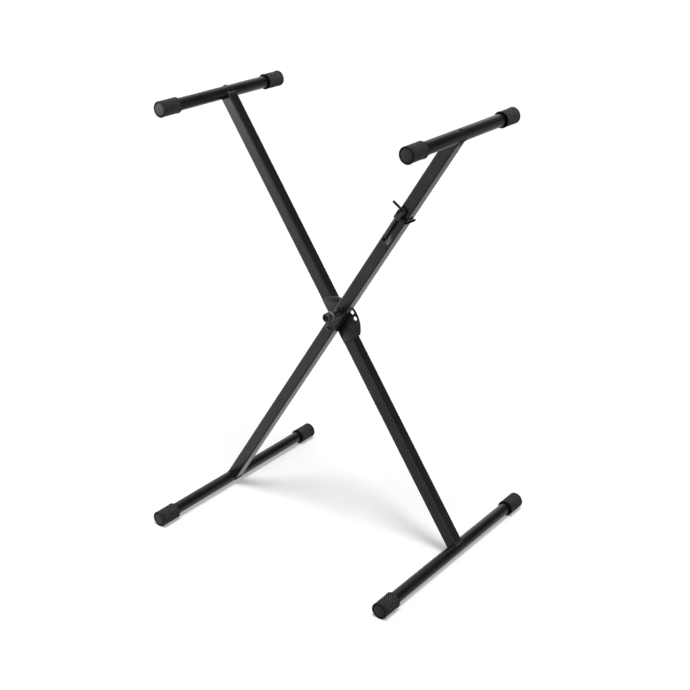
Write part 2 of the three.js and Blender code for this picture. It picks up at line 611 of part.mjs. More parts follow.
// ---- Assembly ----
function piece(name, geometry, finish, parent, x = 0, y = 0, z = 0) {
  const mesh = new THREE.Mesh(geometry, new THREE.MeshStandardMaterial(finishes[finish]));
  mesh.name = name;
  mesh.position.set(x, y, z);
  parent.add(mesh);
  return mesh;
}

function tiltedGroup(angle) {
  const group = new THREE.Group();
  group.position.z = PIVOT_HEIGHT;
  group.rotation.y = angle;
  return group;
}

// One arm with its two bars and its bar screw.
function addArm(group, name, ends, side, ...cuts) {
  piece(`arm_${name}`, armTube(side, ...cuts), "satinBlack", group);
  piece(`top_bar_${ends.top}`, barTube(TOP_SPAN, screwHole(side)), "satinBlack", group, 0, 0, UPPER_ARM);
  piece(`base_bar_${ends.base}`, barTube(BASE_SPAN), "satinBlack", group, 0, 0, -LOWER_ARM);
  piece(`bar_screw_${ends.top}`, barScrew(side), "blackSteel", group);
  piece(`arm_plug_${ends.top}`, armPlug(side), "moulded", group);
}

// The two caps of a bar, whose middle lies at a length along an arm of that tilt.
function addCaps(group, name, diameter, offset, span, tilt, along) {
  const x = Math.sin(tilt) * along;
  const z = PIVOT_HEIGHT + Math.cos(tilt) * along;
  piece(`${name}_front`, endCap(diameter, offset), "rubber", group, x, -span / 2, z);
  piece(`${name}_back`, endCap(diameter, offset).rotateZ(Math.PI), "rubber", group, x, span / 2, z);
}

function addLock(arm) {
  const z = LOCK_RADIUS;
  piece("lock_barrel", lockBarrel(), "satinBlack", arm, 0, 0, z);
  piece("pin_spring", pinSpring(), "plainSteel", arm, 0, 0, z);
  piece("lock_pin", lockPin(), "plainSteel", arm, 0, 0, z);
  piece("pin_cross_pin", crossPin(), "plainSteel", arm, 0, 0, z);
  piece("pull_collar", pullCollar(), "brightSteel", arm, 0, 0, z);
  piece("pull_knob", pullKnob(), "moulded", arm, 0, 0, z);
}

function addTrigger(arm) {
  const place = [-BLOCK_OFFSET, 0, TRIGGER_REACH];
  piece("trigger_block", triggerBlock(), "moulded", arm, ...place);
  piece("guide_screw", guideScrew(), "blackSteel", arm, ...place);
  piece("finger_bar_left", leftFinger(), "blackSteel", arm, ...place);
  piece("finger_bar_right", rightFinger(), "blackSteel", arm, ...place);
  piece("pull_rod", pullRod(), "blackSteel", arm);
  piece("release_ramp", releaseRamp(), "moulded", arm);
}

function addPivot(group) {
  const z = PIVOT_HEIGHT;
  const spacer = [FRONT_BACK + GAP, PLATE_FRONT - GAP];
  const washer = [WASHER_FROM, WASHER_FROM + WASHER_THICKNESS];
  piece("pivot_bolt", pivotBolt(), "blackSteel", group, 0, 0, z);
  piece("pivot_sleeve_front", pivotSleeve(FRONT_FACE, FRONT_BACK), "plainSteel", group, 0, 0, z);
  piece("pivot_sleeve_rear", pivotSleeve(REAR_FRONT, REAR_BACK), "plainSteel", group, 0, 0, z);
  piece("pivot_spacer", ringY(SPACER_DIAMETER, PIVOT_BORE, ...spacer), "moulded", group, 0, 0, z);
  piece("pivot_washer", ringY(WASHER_DIAMETER, PIVOT_BORE, ...washer), "blackSteel", group, 0, 0, z);
  piece("pivot_nut", lockNut(), "blackSteel", group, 0, 0, z);
  piece("lock_plate", lockPlate(), "satinBlack", group, 0, 0, z);
}

const stand = new THREE.Group();
const frontArm = tiltedGroup(TILT);
const rearArm = tiltedGroup(-TILT);
stand.add(frontArm, rearArm);

const wall = [lifted(OVERRUN), lifted(-2 * ARM_WALL)];
const guideHole = boreY(GUIDE_SCREW_DIAMETER + 2 * GAP, ...wall, SMALL_SIDES);
guideHole.translate(-BLOCK_OFFSET - GUIDE_SIDE, 0, TRIGGER_REACH - GUIDE_DROP);
const barrelBore = boreY(BARREL_DIAMETER - 2 * BARREL_WALL, lifted(OVERRUN), -ARM_SIDE);
barrelBore.translate(0, 0, LOCK_RADIUS);
const pinBore = boreY(LOCK_BORE, -ARM_SIDE, 0).translate(0, 0, LOCK_RADIUS);
const frontCuts = [guideHole, barrelBore, pinBore, ...rodSlot()];
addArm(frontArm, "front", { top: "right", base: "left" }, -ARM_SIDE, ...frontCuts);
addArm(rearArm, "rear", { top: "left", base: "right" }, ARM_SIDE);
addCaps(stand, "top_cap_right", TOP_CAP_DIAMETER, 0, TOP_SPAN, TILT, UPPER_ARM);
addCaps(stand, "top_cap_left", TOP_CAP_DIAMETER, 0, TOP_SPAN, -TILT, UPPER_ARM);
addCaps(stand, "base_cap_left", BASE_CAP_DIAMETER, BASE_CAP_OFFSET, BASE_SPAN, TILT, -LOWER_ARM);
addCaps(stand, "base_cap_right", BASE_CAP_DIAMETER, BASE_CAP_OFFSET, BASE_SPAN, -TILT, -LOWER_ARM);
addLock(frontArm);
addTrigger(frontArm);
addPivot(stand);

export default stand;
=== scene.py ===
"""Looks of a folding keyboard stand: black coated tubes, ridged rubber caps and a sprung lock.

Every length is in metres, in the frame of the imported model. An arm has its own frame too: x across
it, y its depth, z along it from the pivot, which a turn about Y and a lift bring to the model's frame.
"""
import json
import logging
import math
from dataclasses import dataclass, field
from enum import Enum
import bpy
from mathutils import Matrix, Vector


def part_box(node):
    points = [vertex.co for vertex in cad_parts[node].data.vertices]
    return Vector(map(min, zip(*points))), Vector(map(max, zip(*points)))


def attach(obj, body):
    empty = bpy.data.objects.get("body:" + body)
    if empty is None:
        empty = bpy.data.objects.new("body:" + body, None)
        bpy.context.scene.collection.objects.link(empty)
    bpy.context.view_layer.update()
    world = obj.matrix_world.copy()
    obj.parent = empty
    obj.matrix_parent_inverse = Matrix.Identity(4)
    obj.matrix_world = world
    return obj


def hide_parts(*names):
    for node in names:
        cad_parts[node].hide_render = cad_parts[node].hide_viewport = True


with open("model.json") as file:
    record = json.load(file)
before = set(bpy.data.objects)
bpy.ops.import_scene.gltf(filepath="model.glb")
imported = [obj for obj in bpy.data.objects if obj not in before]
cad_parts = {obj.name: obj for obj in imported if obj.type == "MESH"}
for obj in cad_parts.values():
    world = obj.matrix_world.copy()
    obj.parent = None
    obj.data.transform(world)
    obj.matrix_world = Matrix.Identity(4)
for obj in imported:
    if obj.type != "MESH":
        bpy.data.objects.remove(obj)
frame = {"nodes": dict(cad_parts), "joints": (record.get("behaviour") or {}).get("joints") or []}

from types import MappingProxyType
from typing import Any, Callable, Mapping, Sequence

import bmesh
import bpy
import numpy as np
from mathutils import Euler, Matrix, Vector

log = logging.getLogger("keyboard_stand")

MM = 0.001
TURN = 2 * math.pi
CREST = "crest"
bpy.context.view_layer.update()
Colour = tuple[float, float, float]
Corner = tuple[float, float, float]
Values = Mapping[Any, Any]
NONE: Values = MappingProxyType({})
Array = np.ndarray


class Slot(Enum):
    """The record's material slots."""

    SATIN_BLACK = "satin_black"
    CAP_RUBBER = "cap_rubber"
    BLACK_STEEL = "black_steel"
    BRIGHT_STEEL = "bright_steel"
    PLAIN_STEEL = "plain_steel"
    MOULDED = "moulded"


class Body(Enum):
    """The rigid bodies that pieces ride on."""

    REAR = "rear_frame"
    FRONT = "front_frame"
    TRIGGER = "trigger"
    PIN = "pin"
    CAP_LEFT_FRONT = "cap_left_front"
    CAP_LEFT_BACK = "cap_left_back"
    CAP_RIGHT_FRONT = "cap_right_front"
    CAP_RIGHT_BACK = "cap_right_back"


# ---------------------------------------------------------------- shader expressions


def operator(operation: str, reflected: bool = False) -> Callable[["Term", Any], "Term"]:
    """A method that adds one Math node, with its inputs swapped for a reflected operator."""

    def apply(self: "Term", other: Any) -> "Term":
        """The node's result."""
        return self.math(operation, *((other, self) if reflected else (self, other)))

    return apply


class Term:
    """A shader value that takes part in Python arithmetic, adding Math nodes as it goes."""

    __add__, __radd__ = operator("ADD"), operator("ADD", True)
    __sub__, __rsub__ = operator("SUBTRACT"), operator("SUBTRACT", True)
    __mul__, __rmul__ = operator("MULTIPLY"), operator("MULTIPLY", True)
    __pow__, above = operator("POWER"), operator("GREATER_THAN")

    def __init__(self, graph: "Graph", socket: bpy.types.NodeSocket) -> None:
        """Keeps the graph and the socket that the value comes from."""
        self.graph = graph
        self.socket = socket

    def math(self, operation: str, *operands: Any) -> "Term":
        """The result of a Math node whose inputs are numbers or terms."""
        return self.graph.term("Math", {"operation": operation}, dict(enumerate(operands)))

    def __abs__(self) -> "Term":
        """The size of self."""
        return self.math("ABSOLUTE", self)

    def root(self) -> "Term":
        """The square root of self."""
        return self.math("SQRT", self)

    def ramp(self, low: float, high: float, start: float = 0.0, end: float = 1.0) -> "Term":
        """Maps low..high to start..end smoothly, and holds outside."""
        sockets = {"Value": self, "From Min": low, "From Max": high, "To Min": start, "To Max": end}
        return self.graph.term("MapRange", {"interpolation_type": "SMOOTHSTEP"}, sockets)


class Graph:
    """The node tree of a material or of the world."""

    def __init__(self, owner: bpy.types.Material | bpy.types.World) -> None:
        """Empties the owner's tree."""
        owner.use_nodes = True
        self.owner = owner
        self.tree = owner.node_tree
        self.tree.nodes.clear()

    @classmethod
    def named(cls, name: str) -> "Graph":
        """The tree of a new material."""
        return cls(bpy.data.materials.new(name))

    def add(self, kind: str, settings: Values = NONE, sockets: Values = NONE) -> bpy.types.Node:
        """Adds a node, sets its settings first, and then its sockets.

        Args:
            kind: the node's type, less the first part that all types share.
            settings: its properties, such as an operation.
            sockets: its inputs by name or number, each a number, a colour or a Term.

        Returns:
            The node.
        """
        node = self.tree.nodes.new(f"ShaderNode{kind}")
        for key, value in settings.items():
            setattr(node, key, value)
        for key, value in sockets.items():
            if isinstance(value, Term):
                self.tree.links.new(value.socket, node.inputs[key])
            else:
                node.inputs[key].default_value = value
        return node

    def term(self, kind: str, settings: Values = NONE, sockets: Values = NONE, output: Any = 0) -> Term:
        """Adds a node as add does, and gives one of its outputs."""
        return Term(self, self.add(kind, settings, sockets).outputs[output])

    def end(self, surface: Term, output: str = "OutputMaterial") -> Any:
        """Ends the tree with its surface, and gives its owner."""
        self.add(output, NONE, {"Surface": surface})
        return self.owner

    def place(self) -> Term:
        """The surface's place, in Object coordinates."""
        return self.term("TexCoord", output="Object")

    def attribute(self, name: str) -> Term:
        """A value that the mesh carries at its points."""
        return self.term("Attribute", {"attribute_name": name}, output="Fac")

    def rays(self) -> tuple[Term, Term]:
        """1 for a ray that the camera sees, and 1 for a ray of gloss."""
        path = self.add("LightPath")
        kinds = ("Is Camera Ray", "Is Transmission Ray", "Is Glossy Ray")
        camera, through, gloss = (Term(self, path.outputs[kind]) for kind in kinds)
        return camera.math("MAXIMUM", camera, through), gloss

    def axes(self, vector: Term) -> list[Term]:
        """The x, y and z of a vector."""
        node = self.add("SeparateXYZ", NONE, {"Vector": vector})
        return [Term(self, out) for out in node.outputs]

    def noise(self, at: Term, size: float, detail: float = 3.0, rough: float = 0.55) -> Term:
        """Noise whose features are about size metres wide, from 0 to 1."""
        sockets = {"Vector": at, "Scale": 1.0 / size, "Detail": detail, "Roughness": rough}
        return self.term("TexNoise", NONE, sockets)

    def cells(self, at: Term, size: float) -> Term:
        """Distance to the nearest of points strewn size metres apart, in units of size."""
        sockets = {"Vector": at, "Scale": 1.0 / size}
        return self.term("TexVoronoi", NONE, sockets, "Distance")

    def blend(self, factor: Term, first: Term | Colour, second: Colour) -> Term:
        """A colour between two, by a factor from 0 to 1. The first may vary itself."""
        start = first if isinstance(first, Term) else (*first, 1.0)
        sockets = {0: factor, 6: start, 7: (*second, 1.0)}
        return self.term("Mix", {"data_type": "RGBA"}, sockets, 2)

    def relief(self, height: Term, metres: float) -> Term:
        """A Bump node's normal for a height of 0 to 1, metres deep."""
        return self.term("Bump", NONE, {"Strength": 1.0, "Distance": metres, "Height": height})


# ---------------------------------------------------------------- finishes


def grey(level: float, blue: float = 0.0) -> Colour:
    """A grey, a little toward blue."""
    return level, level, level + blue


@dataclass(frozen=True)
class Look:
    """A finished material and the record's slot that it belongs to."""

    slot: Slot
    material: bpy.types.Material


@dataclass(frozen=True, kw_only=True)
class Finish:
    """What every finish has: a name, a slot of the record and a shader."""

    name: str
    slot: Slot

    def sockets(self, graph: Graph, at: Term) -> dict[str, Any]:
        """The Principled shader's inputs, by the surface's place."""
        raise NotImplementedError

    def look(self) -> Look:
        """Builds the material."""
        graph = Graph.named(self.name)
        sockets = self.sockets(graph, graph.place())
        return Look(self.slot, graph.end(graph.term("BsdfPrincipled", NONE, sockets)))


@dataclass(frozen=True, kw_only=True)
class PowderCoat(Finish):
    """Satin black powder coat: orange peel, slow changes of gloss, and a few faint rubs."""

    name: str = "satin_powder_coat"
    slot: Slot = Slot.SATIN_BLACK
    base: Colour = grey(0.0055, 0.0005)
    pale: Colour = grey(0.009, 0.0006)
    rub: Colour = grey(0.035, 0.001)
    gloss: tuple[float, float] = (0.24, 0.31)
    specular: float = 0.5
    patch_size: float = 60 * MM
    rub_size: float = 9 * MM
    peel_size: float = 1.3 * MM
    speck_size: float = 0.45 * MM
    peel_depth: float = 0.009 * MM

    def sockets(self, graph: Graph, at: Term) -> dict[str, Any]:
        """The shader's inputs."""
        broad = graph.noise(at, self.patch_size, 4.0)
        peel = graph.noise(at, self.peel_size, 2.0, 0.4)
        speck = graph.noise(at, self.speck_size, 1.0)
        rubs = graph.noise(at, self.rub_size, 6.0, 0.7).ramp(0.66, 0.74) * broad.ramp(0.45, 0.6)
        colour = graph.blend(broad.ramp(0.35, 0.65), self.base, self.pale)
        return {
            "Base Color": graph.blend(rubs * 0.35, colour, self.rub),
            "Roughness": broad.ramp(0.3, 0.7, *self.gloss) + rubs * 0.12 + (speck - 0.5) * 0.08,
            "Specular IOR Level": self.specular,
            "Normal": graph.relief(peel * 0.8 + speck * 0.2, self.peel_depth),
        }


@dataclass(frozen=True, kw_only=True)
class WeldCoat(Finish):
    """The same coat over a weld, painted darker than the arms' coat for the shade in the joints, in random
    patches.
    """

    name: str = "coated_weld_painted_shade"
    slot: Slot = Slot.SATIN_BLACK
    # painted shade: base and pale are darker than the arms' coat, for the shade in the joints
    base: Colour = grey(0.003, 0.0003)
    pale: Colour = grey(0.007, 0.0004)
    patch_size: float = 3 * MM
    spatter_size: float = 1.1 * MM
    depth: float = 0.12 * MM

    def sockets(self, graph: Graph, at: Term) -> dict[str, Any]:
        """The shader's inputs."""
        patches = graph.noise(at, self.patch_size, 3.0)
        spatter = graph.cells(at, self.spatter_size)
        return {
            "Base Color": graph.blend(patches.ramp(0.3, 0.7), self.base, self.pale),
            "Roughness": patches.ramp(0.2, 0.8, 0.4, 0.6),
            "Specular IOR Level": 0.25,
            "Normal": graph.relief(patches * 0.7 + spatter * 0.3, self.depth),
        }


@dataclass(frozen=True, kw_only=True)
class CapRubber(Finish):
    """Matt black rubber, smooth on a cap's end disc, with a painted highlight in grey on its ridges and
    painted shade between them.

    Args:
        half_span: how far from y = 0 the ends of the caps lie.
        disc: how deep the smooth end zone is.
        smooth: the colour of the end disc.
    """

    slot: Slot = Slot.CAP_RUBBER
    half_span: float
    disc: float = 2.2 * MM
    smooth: Colour
    # valley and crest: painted shade between the ridges, and a painted highlight on them
    valley: Colour = grey(0.001)
    crest: Colour = grey(0.21, 0.002)
    bloom_size: float = 14 * MM
    crest_patch_size: float = 5 * MM
    grain_size: float = 0.5 * MM
    grain_depth: float = 0.02 * MM

    def sockets(self, graph: Graph, at: Term) -> dict[str, Any]:
        """The shader's inputs."""
        end = abs(graph.axes(at)[1]).above(self.half_span - self.disc)
        height = graph.attribute(CREST)
        bloom = graph.noise(at, self.bloom_size, 4.0)
        grain = graph.noise(at, self.grain_size, 2.0)
        # random patches that vary the painted highlight of the crests
        crest_patches = graph.noise(at, self.crest_patch_size, 4.0, 0.65).ramp(0.3, 0.7, 0.55, 1.0)
        colour = graph.blend(height.ramp(0.5, 0.98) * crest_patches, self.valley, self.crest)
        return {
            "Base Color": graph.blend(end * height, colour, self.smooth),
            "Roughness": bloom.ramp(0.25, 0.75, 0.5, 0.62) - end * 0.2 + (grain - 0.5) * 0.1,
            "Specular IOR Level": 0.2,
            "Normal": graph.relief(grain * (1 - end * 0.7), self.grain_depth),
        }


@dataclass(frozen=True, kw_only=True)
class Blackened(Finish):
    """Oil-blackened steel: dark, half metallic, with brown-grey drift and bright rubbed spots."""

    name: str = "blackened_steel"
    slot: Slot = Slot.BLACK_STEEL
    base: Colour = grey(0.016, 0.002)
    drift: Colour = (0.034, 0.032, 0.031)
    bright: Colour = grey(0.16, 0.005)
    cloud_size: float = 6 * MM
    rub_size: float = 2.5 * MM
    grain_size: float = 0.35 * MM
    grain_depth: float = 0.01 * MM

    def sockets(self, graph: Graph, at: Term) -> dict[str, Any]:
        """The shader's inputs."""
        cloud = graph.noise(at, self.cloud_size, 4.0)
        grain = graph.noise(at, self.grain_size, 2.0)
        rubbed = graph.noise(at, self.rub_size, 5.0, 0.75).ramp(0.62, 0.72)
        colour = graph.blend(cloud.ramp(0.3, 0.7), self.base, self.drift)
        return {
            "Base Color": graph.blend(rubbed * 0.4, colour, self.bright),
            "Metallic": rubbed * 0.5 + 0.35,
            "Roughness": cloud.ramp(0.3, 0.7, 0.26, 0.4) + (grain - 0.5) * 0.1,
            "Normal": graph.relief(grain, self.grain_depth),
        }


@dataclass(frozen=True, kw_only=True)
class Turned(Finish):
    """Metal turned on a lathe: fine rings about an axis along Y.

    Args:
        axis: x and z of the axis at rest.
    """

    axis: tuple[float, float]
    base: Colour = grey(0.40, 0.01)
    dull: Colour = grey(0.22, 0.005)
    gloss: tuple[float, float] = (0.16, 0.32)
    stain_size: float = 4 * MM
    pitch: float = 0.22 * MM
    depth: float = 0.008 * MM

    def sockets(self, graph: Graph, at: Term) -> dict[str, Any]:
        """The shader's inputs."""
        x, y, z = graph.axes(at)
        across = (x - self.axis[0]) ** 2.0 + (z - self.axis[1]) ** 2.0
        reach = graph.term("CombineXYZ", NONE, {"X": across.root() + y})
        rings = graph.noise(reach, self.pitch)
        stain = graph.noise(at, self.stain_size, 4.0)
        return {
            "Base Color": graph.blend(stain.ramp(0.4, 0.75), self.base, self.dull),
            "Metallic": 1.0,
            "Roughness": stain.ramp(0.3, 0.75, *self.gloss) + (rings - 0.5) * 0.1,
            "Normal": graph.relief(rings, self.depth),
        }


@dataclass(frozen=True, kw_only=True)
class Moulded(Finish):
    """Black moulded plastic with a spark-eroded grain."""

    name: str = "moulded_black"
    slot: Slot = Slot.MOULDED
    base: Colour = grey(0.012, 0.001)
    pale: Colour = grey(0.02, 0.001)
    specular: float = 0.5
    flow_size: float = 10 * MM
    grain_size: float = 0.4 * MM
    grain_depth: float = 0.02 * MM

    def sockets(self, graph: Graph, at: Term) -> dict[str, Any]:
        """The shader's inputs."""
        flow = graph.noise(at, self.flow_size, 3.0)
        grain = graph.noise(at, self.grain_size, 2.0, 0.5)
        return {
            "Base Color": graph.blend(flow.ramp(0.35, 0.7), self.base, self.pale),
            "Roughness": flow.ramp(0.3, 0.7, 0.38, 0.5) + (grain - 0.5) * 0.12,
            "Specular IOR Level": self.specular,
            "Normal": graph.relief(grain, self.grain_depth),
        }


# ---------------------------------------------------------------- surfaces


def merged(mesh: bpy.types.Mesh, degenerate: float = 0.0, double: float = 2e-6) -> bpy.types.Mesh:
    """Merges coinciding points, drops edges up to a length, and turns a closed mesh's faces outward."""
    work = bmesh.new()
    work.from_mesh(mesh)
    bmesh.ops.remove_doubles(work, verts=work.verts, dist=double)
    if degenerate:
        bmesh.ops.dissolve_degenerate(work, edges=work.edges, dist=degenerate)
    if not any(edge.is_boundary for edge in work.edges):
        bmesh.ops.recalc_face_normals(work, faces=work.faces)
    work.to_mesh(mesh)
    work.free()
    return mesh


def linked(name: str, data: bpy.types.ID) -> bpy.types.Object:
    """A new object in the scene, at the origin."""
    piece = bpy.data.objects.new(name, data)
    bpy.context.scene.collection.objects.link(piece)
    return piece


def shaded(name: str, mesh: bpy.types.Mesh, crease: float = 32.0) -> bpy.types.Object:
    """A mesh's object, shaded smooth, with edges over crease degrees kept sharp."""
    mesh.polygons.foreach_set("use_smooth", np.ones(len(mesh.polygons), bool))
    mesh.set_sharp_from_angle(angle=math.radians(crease))
    return linked(name, mesh)


def mesh_object(
    name: str,
    grid: Array,
    skip: Array | None = None,
    crest: Array | None = None,
    crease: float = 32.0,
) -> bpy.types.Object:
    """Makes an object of a grid of points, each cell a face, with coinciding points merged.

    Args:
        name: the piece's name.
        grid: rows, columns and x, y, z.
        skip: a mask of the cells that are left out.
        crest: for each point, 1 on a ridge and 0 in a hollow, which the rubber paints as highlight and
            shade.
        crease: the angle over which an edge is sharp, in degrees.

    Returns:
        The linked object, at the origin.
    """
    rows, columns = grid.shape[:2]
    index = np.arange(rows * columns).reshape(rows, columns)
    cells = np.stack([index[:-1, :-1], index[1:, :-1], index[1:, 1:], index[:-1, 1:]], axis=-1)
    cells = cells.reshape(-1, 4) if skip is None else cells[~skip]
    mesh = bpy.data.meshes.new(name)
    mesh.from_pydata(grid.reshape(-1, 3).tolist(), [], cells.tolist())
    if crest is not None:
        layer = mesh.attributes.new(CREST, "FLOAT", "POINT")
        layer.data.foreach_set("value", crest.astype(np.float32).ravel())
    return shaded(name, merged(mesh, 1e-6), crease)


def circle(count: int, start: float = 0.0, end: float = TURN) -> Array:
    """Points at even angles from start to end on a circle of radius 1, as rows."""
    angle = np.linspace(start, end, count)
    return np.stack([np.cos(angle), np.sin(angle)], axis=-1)


def unit(vectors: Array) -> Array:
    """The vectors at length 1."""
    return vectors / np.linalg.norm(vectors, axis=-1, keepdims=True)


def travelled(path: Array) -> Array:
    """How far along a path each of its points lies."""
    return np.concatenate([[0.0], np.cumsum(np.linalg.norm(np.diff(path, axis=0), axis=1))])


def filleted(corners: Sequence[Corner], steps: int = 5) -> Array:
    """A polyline with round corners.

    Each corner is replaced by a circular arc that touches both its sides.

    Args:
        corners: a, b and fillet radius of each corner.
        steps: points on each arc.

    Returns:
        The points, as rows of a and b.
    """
    points = np.array([corner[:2] for corner in corners], float)
    out = [points[:1]]
    for number in range(1, len(points) - 1):
        corner = points[number]
        back, ahead = points[number - 1] - corner, points[number + 1] - corner
        shorter = min(np.linalg.norm(back), np.linalg.norm(ahead))
        back, ahead = unit(back), unit(ahead)
        half = math.acos(float(np.clip(back @ ahead, -1, 1))) / 2
        reach = min(corners[number][2] / math.tan(half), 0.49 * shorter)
        if reach < 1e-7 or half > 0.49 * math.pi:
            out.append(corner[None])
            continue
        centre = corner + unit(back + ahead) * reach * math.tan(half) / math.sin(half)
        first, last = corner + back * reach - centre, corner + ahead * reach - centre
        sweep = math.pi - 2 * half
        share = np.linspace(0, 1, steps)[:, None]
        arc = (np.sin((1 - share) * sweep) * first + np.sin(share * sweep) * last) / math.sin(sweep)
        out.append(centre + arc)
    out.append(points[-1:])
    return np.concatenate(out)


def spun(radius: Array, height: Array) -> Array:
    """A surface about the third axis: radius r at height a and angle t goes to (r cos t, r sin t, a)."""
    cos, sin = circle(radius.shape[1]).T
    return np.stack([radius * cos, radius * sin, np.broadcast_to(height[:, None], radius.shape)], axis=-1)


def turned(profile: Array, sides: int = 64, ripple: Array | float = 0.0) -> Array:
    """A surface of revolution from rows of radius and height, with an optional change of radius."""
    radius = np.repeat(profile[:, :1], sides + 1, axis=1)
    return spun(np.maximum(radius + ripple, 0), profile[:, 1])


def hexed(profile: Array, shares: Sequence[float], sides: int = 72) -> Array:
    """A turned surface whose first rows are hexagons across the flats.

    A hexagon's radius at angle t is its half width over the cosine of t measured from the nearest flat.

    Args:
        profile: rows of radius and height.
        shares: for each of the first rows, 1 for a hexagon and 0 for a circle.
        sides: points round the axis.

    Returns:
        A grid of points.
    """
    sixth = TURN / 6
    off_flat = np.mod(np.linspace(0, TURN, sides + 1) + sixth / 2, sixth) - sixth / 2
    hexagon = np.zeros((len(profile), 1))
    hexagon[:len(shares), 0] = shares
    return spun(profile[:, :1] * (1 + hexagon * (1 / np.cos(off_flat) - 1)), profile[:, 1])


def along_y(grid: Array, centre: Sequence[float]) -> Array:
    """Turns a surface about the third axis to one about Y, through x and z of the centre."""
    return np.stack([grid[..., 0] + centre[0], grid[..., 2], grid[..., 1] + centre[1]], axis=-1)


def piped(path: Array, direction: Array, across: Array, radius: Array, sides: int) -> Array:
    """A round rod about a path, from the direction and a crosswise one at each of its points."""
    cos, sin = circle(sides + 1).T[:, None, :, None]
    ring = across[:, None] * cos + np.cross(direction, across)[:, None] * sin
    return path[:, None] + ring * radius[:, None, None]


def bead(path: Array, radius: float, pitch: float = 2.1 * MM, sides: int = 12) -> Array:
    """A weld bead along a closed path.

    The bead's radius swells and shrinks as a rounded wave of the distance along the path, and by a
    slower wave too, so the ripples look laid by hand.

    Args:
        path: rows of x, y, z, the last the same as the first.
        radius: the mean radius.
        pitch: the length of a ripple.
        sides: points round the bead.

    Returns:
        A grid of points.
    """
    length = travelled(path)
    total = length[-1]
    even = np.linspace(0, total, max(60, int(total / (pitch / 8))))
    line = np.stack([np.interp(even, length, column) for column in path.T], axis=-1)
    phase = TURN * even / total
    swell = 1 + 0.16 * np.abs(np.sin(phase * round(total / pitch) / 2)) + 0.07 * np.sin(phase * 5 + 1.3)
    direction = np.roll(line[:-1], -1, axis=0) - np.roll(line[:-1], 1, axis=0)
    direction = unit(np.concatenate([direction, direction[:1]]))
    across = unit(np.cross(direction, [0.31, 0.62, 0.72]))
    return piped(line, direction, across, radius * swell, sides)


def square_outline(size: float, corner: float, steps: int = 7, guard: float = 0.35 * MM) -> Array:
    """The outline of a square with round corners, as a closed loop of x and y from the front's left.

    Each flat has a point a guard's length from each end, so that smooth shading stays in the corners.
    """
    half = size / 2
    flat = half - corner
    arc = circle(steps, -TURN / 4, 0) * corner + [flat, -flat]
    side = np.concatenate([[[-flat + guard, -half], [flat - guard, -half]], arc])
    quarter = np.array([[0.0, 1.0], [-1.0, 0.0]])
    loop = np.concatenate([side @ np.linalg.matrix_power(quarter, turns) for turns in range(4)])
    return np.concatenate([loop, loop[:1]])


def evaluated(piece: bpy.types.Object) -> bpy.types.Mesh:
    """Takes a piece out of the scene, and gives a mesh of it as its curve or modifiers make it."""
    bpy.context.view_layer.update()
    mesh = bpy.data.meshes.new_from_object(piece.evaluated_get(bpy.context.evaluated_depsgraph_get()))
    bpy.data.objects.remove(piece)
    return mesh


def flat_mesh(loops: Sequence[Array], depth: float, bevel: float) -> bpy.types.Mesh:
    """A flat solid with bevelled edges, from its outline and the outlines of its holes.

    Args:
        loops: closed loops of x and y, the outline first.
        depth: the thickness, from z = 0 up.
        bevel: the width of the rounded edge, inside the outline.

    Returns:
        The mesh.
    """
    curve = bpy.data.curves.new("outline", "CURVE")
    curve.dimensions = "2D"
    curve.fill_mode = "BOTH"
    curve.extrude = depth / 2 - bevel
    curve.bevel_depth = bevel
    curve.bevel_resolution = 3
    curve.offset = -bevel
    for loop in loops:
        spline = curve.splines.new("POLY")
        spline.points.add(len(loop) - 1)
        spline.points.foreach_set("co", np.hstack([loop, [[0.0, 1.0]] * len(loop)]).ravel())
        spline.use_cyclic_u = True
    mesh = evaluated(linked("outline", curve))
    mesh.transform(Matrix.Translation((0, 0, depth / 2)))
    return merged(mesh)


def carved(body: bpy.types.Mesh, cutter: bpy.types.Mesh) -> bpy.types.Mesh:
    """Cuts one closed mesh out of another."""
    piece, tool = linked("body", body), linked("cutter", cutter)
    cut = piece.modifiers.new("cut", "BOOLEAN")
    cut.object = tool
    cut.solver = "EXACT"
    mesh = evaluated(piece)
    bpy.data.objects.remove(tool)
    return mesh


def upright(x: float, y: float, z: float) -> Matrix:
    """Stands a flat piece up with its thickness toward -Y and its origin at x, y, z."""
    return Matrix(((1, 0, 0, x), (0, 0, -1, y), (0, 1, 0, z), (0, 0, 0, 1)))


def settle(piece: bpy.types.Object, nodes: Sequence[str], body: Body, look: Look) -> None:
    """Dresses a piece, hides the CAD nodes that it stands for, and makes it ride on its body.

    Args:
        piece: the object.
        nodes: the CAD nodes that it replaces, or none.
        body: what it rides on.
        look: its material and slot.
    """
    piece.data.materials.clear()
    piece.data.materials.append(look.material)
    if nodes:
        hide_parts(*nodes)
    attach(piece, body.value)
    log.info("%s: %d faces", piece.name, len(piece.data.polygons))


@dataclass(frozen=True)
class Place:
    """What a node's box says about a round piece along Y."""

    x: float
    z: float
    front: float
    back: float
    radius: float

    @classmethod
    def of(cls, node: str) -> "Place":
        """Reads the node's box."""
        low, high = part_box(node)
        return cls((low.x + high.x) / 2, (low.z + high.z) / 2, low.y, high.y, (high.x - low.x) / 2)

    @property
    def centre(self) -> tuple[float, float]:
        """x and z of the axis."""
        return self.x, self.z

    @property
    def millimetres(self) -> tuple[float, float]:
        """The radius and the length along Y, in millimetres."""
        return self.radius / MM, (self.back - self.front) / MM

    def set(self, points: Array) -> Array:
        """Sets points about the third axis along Y, from millimetres above the middle of the front."""
        return along_y(points * MM, self.centre) + [0, self.front, 0]


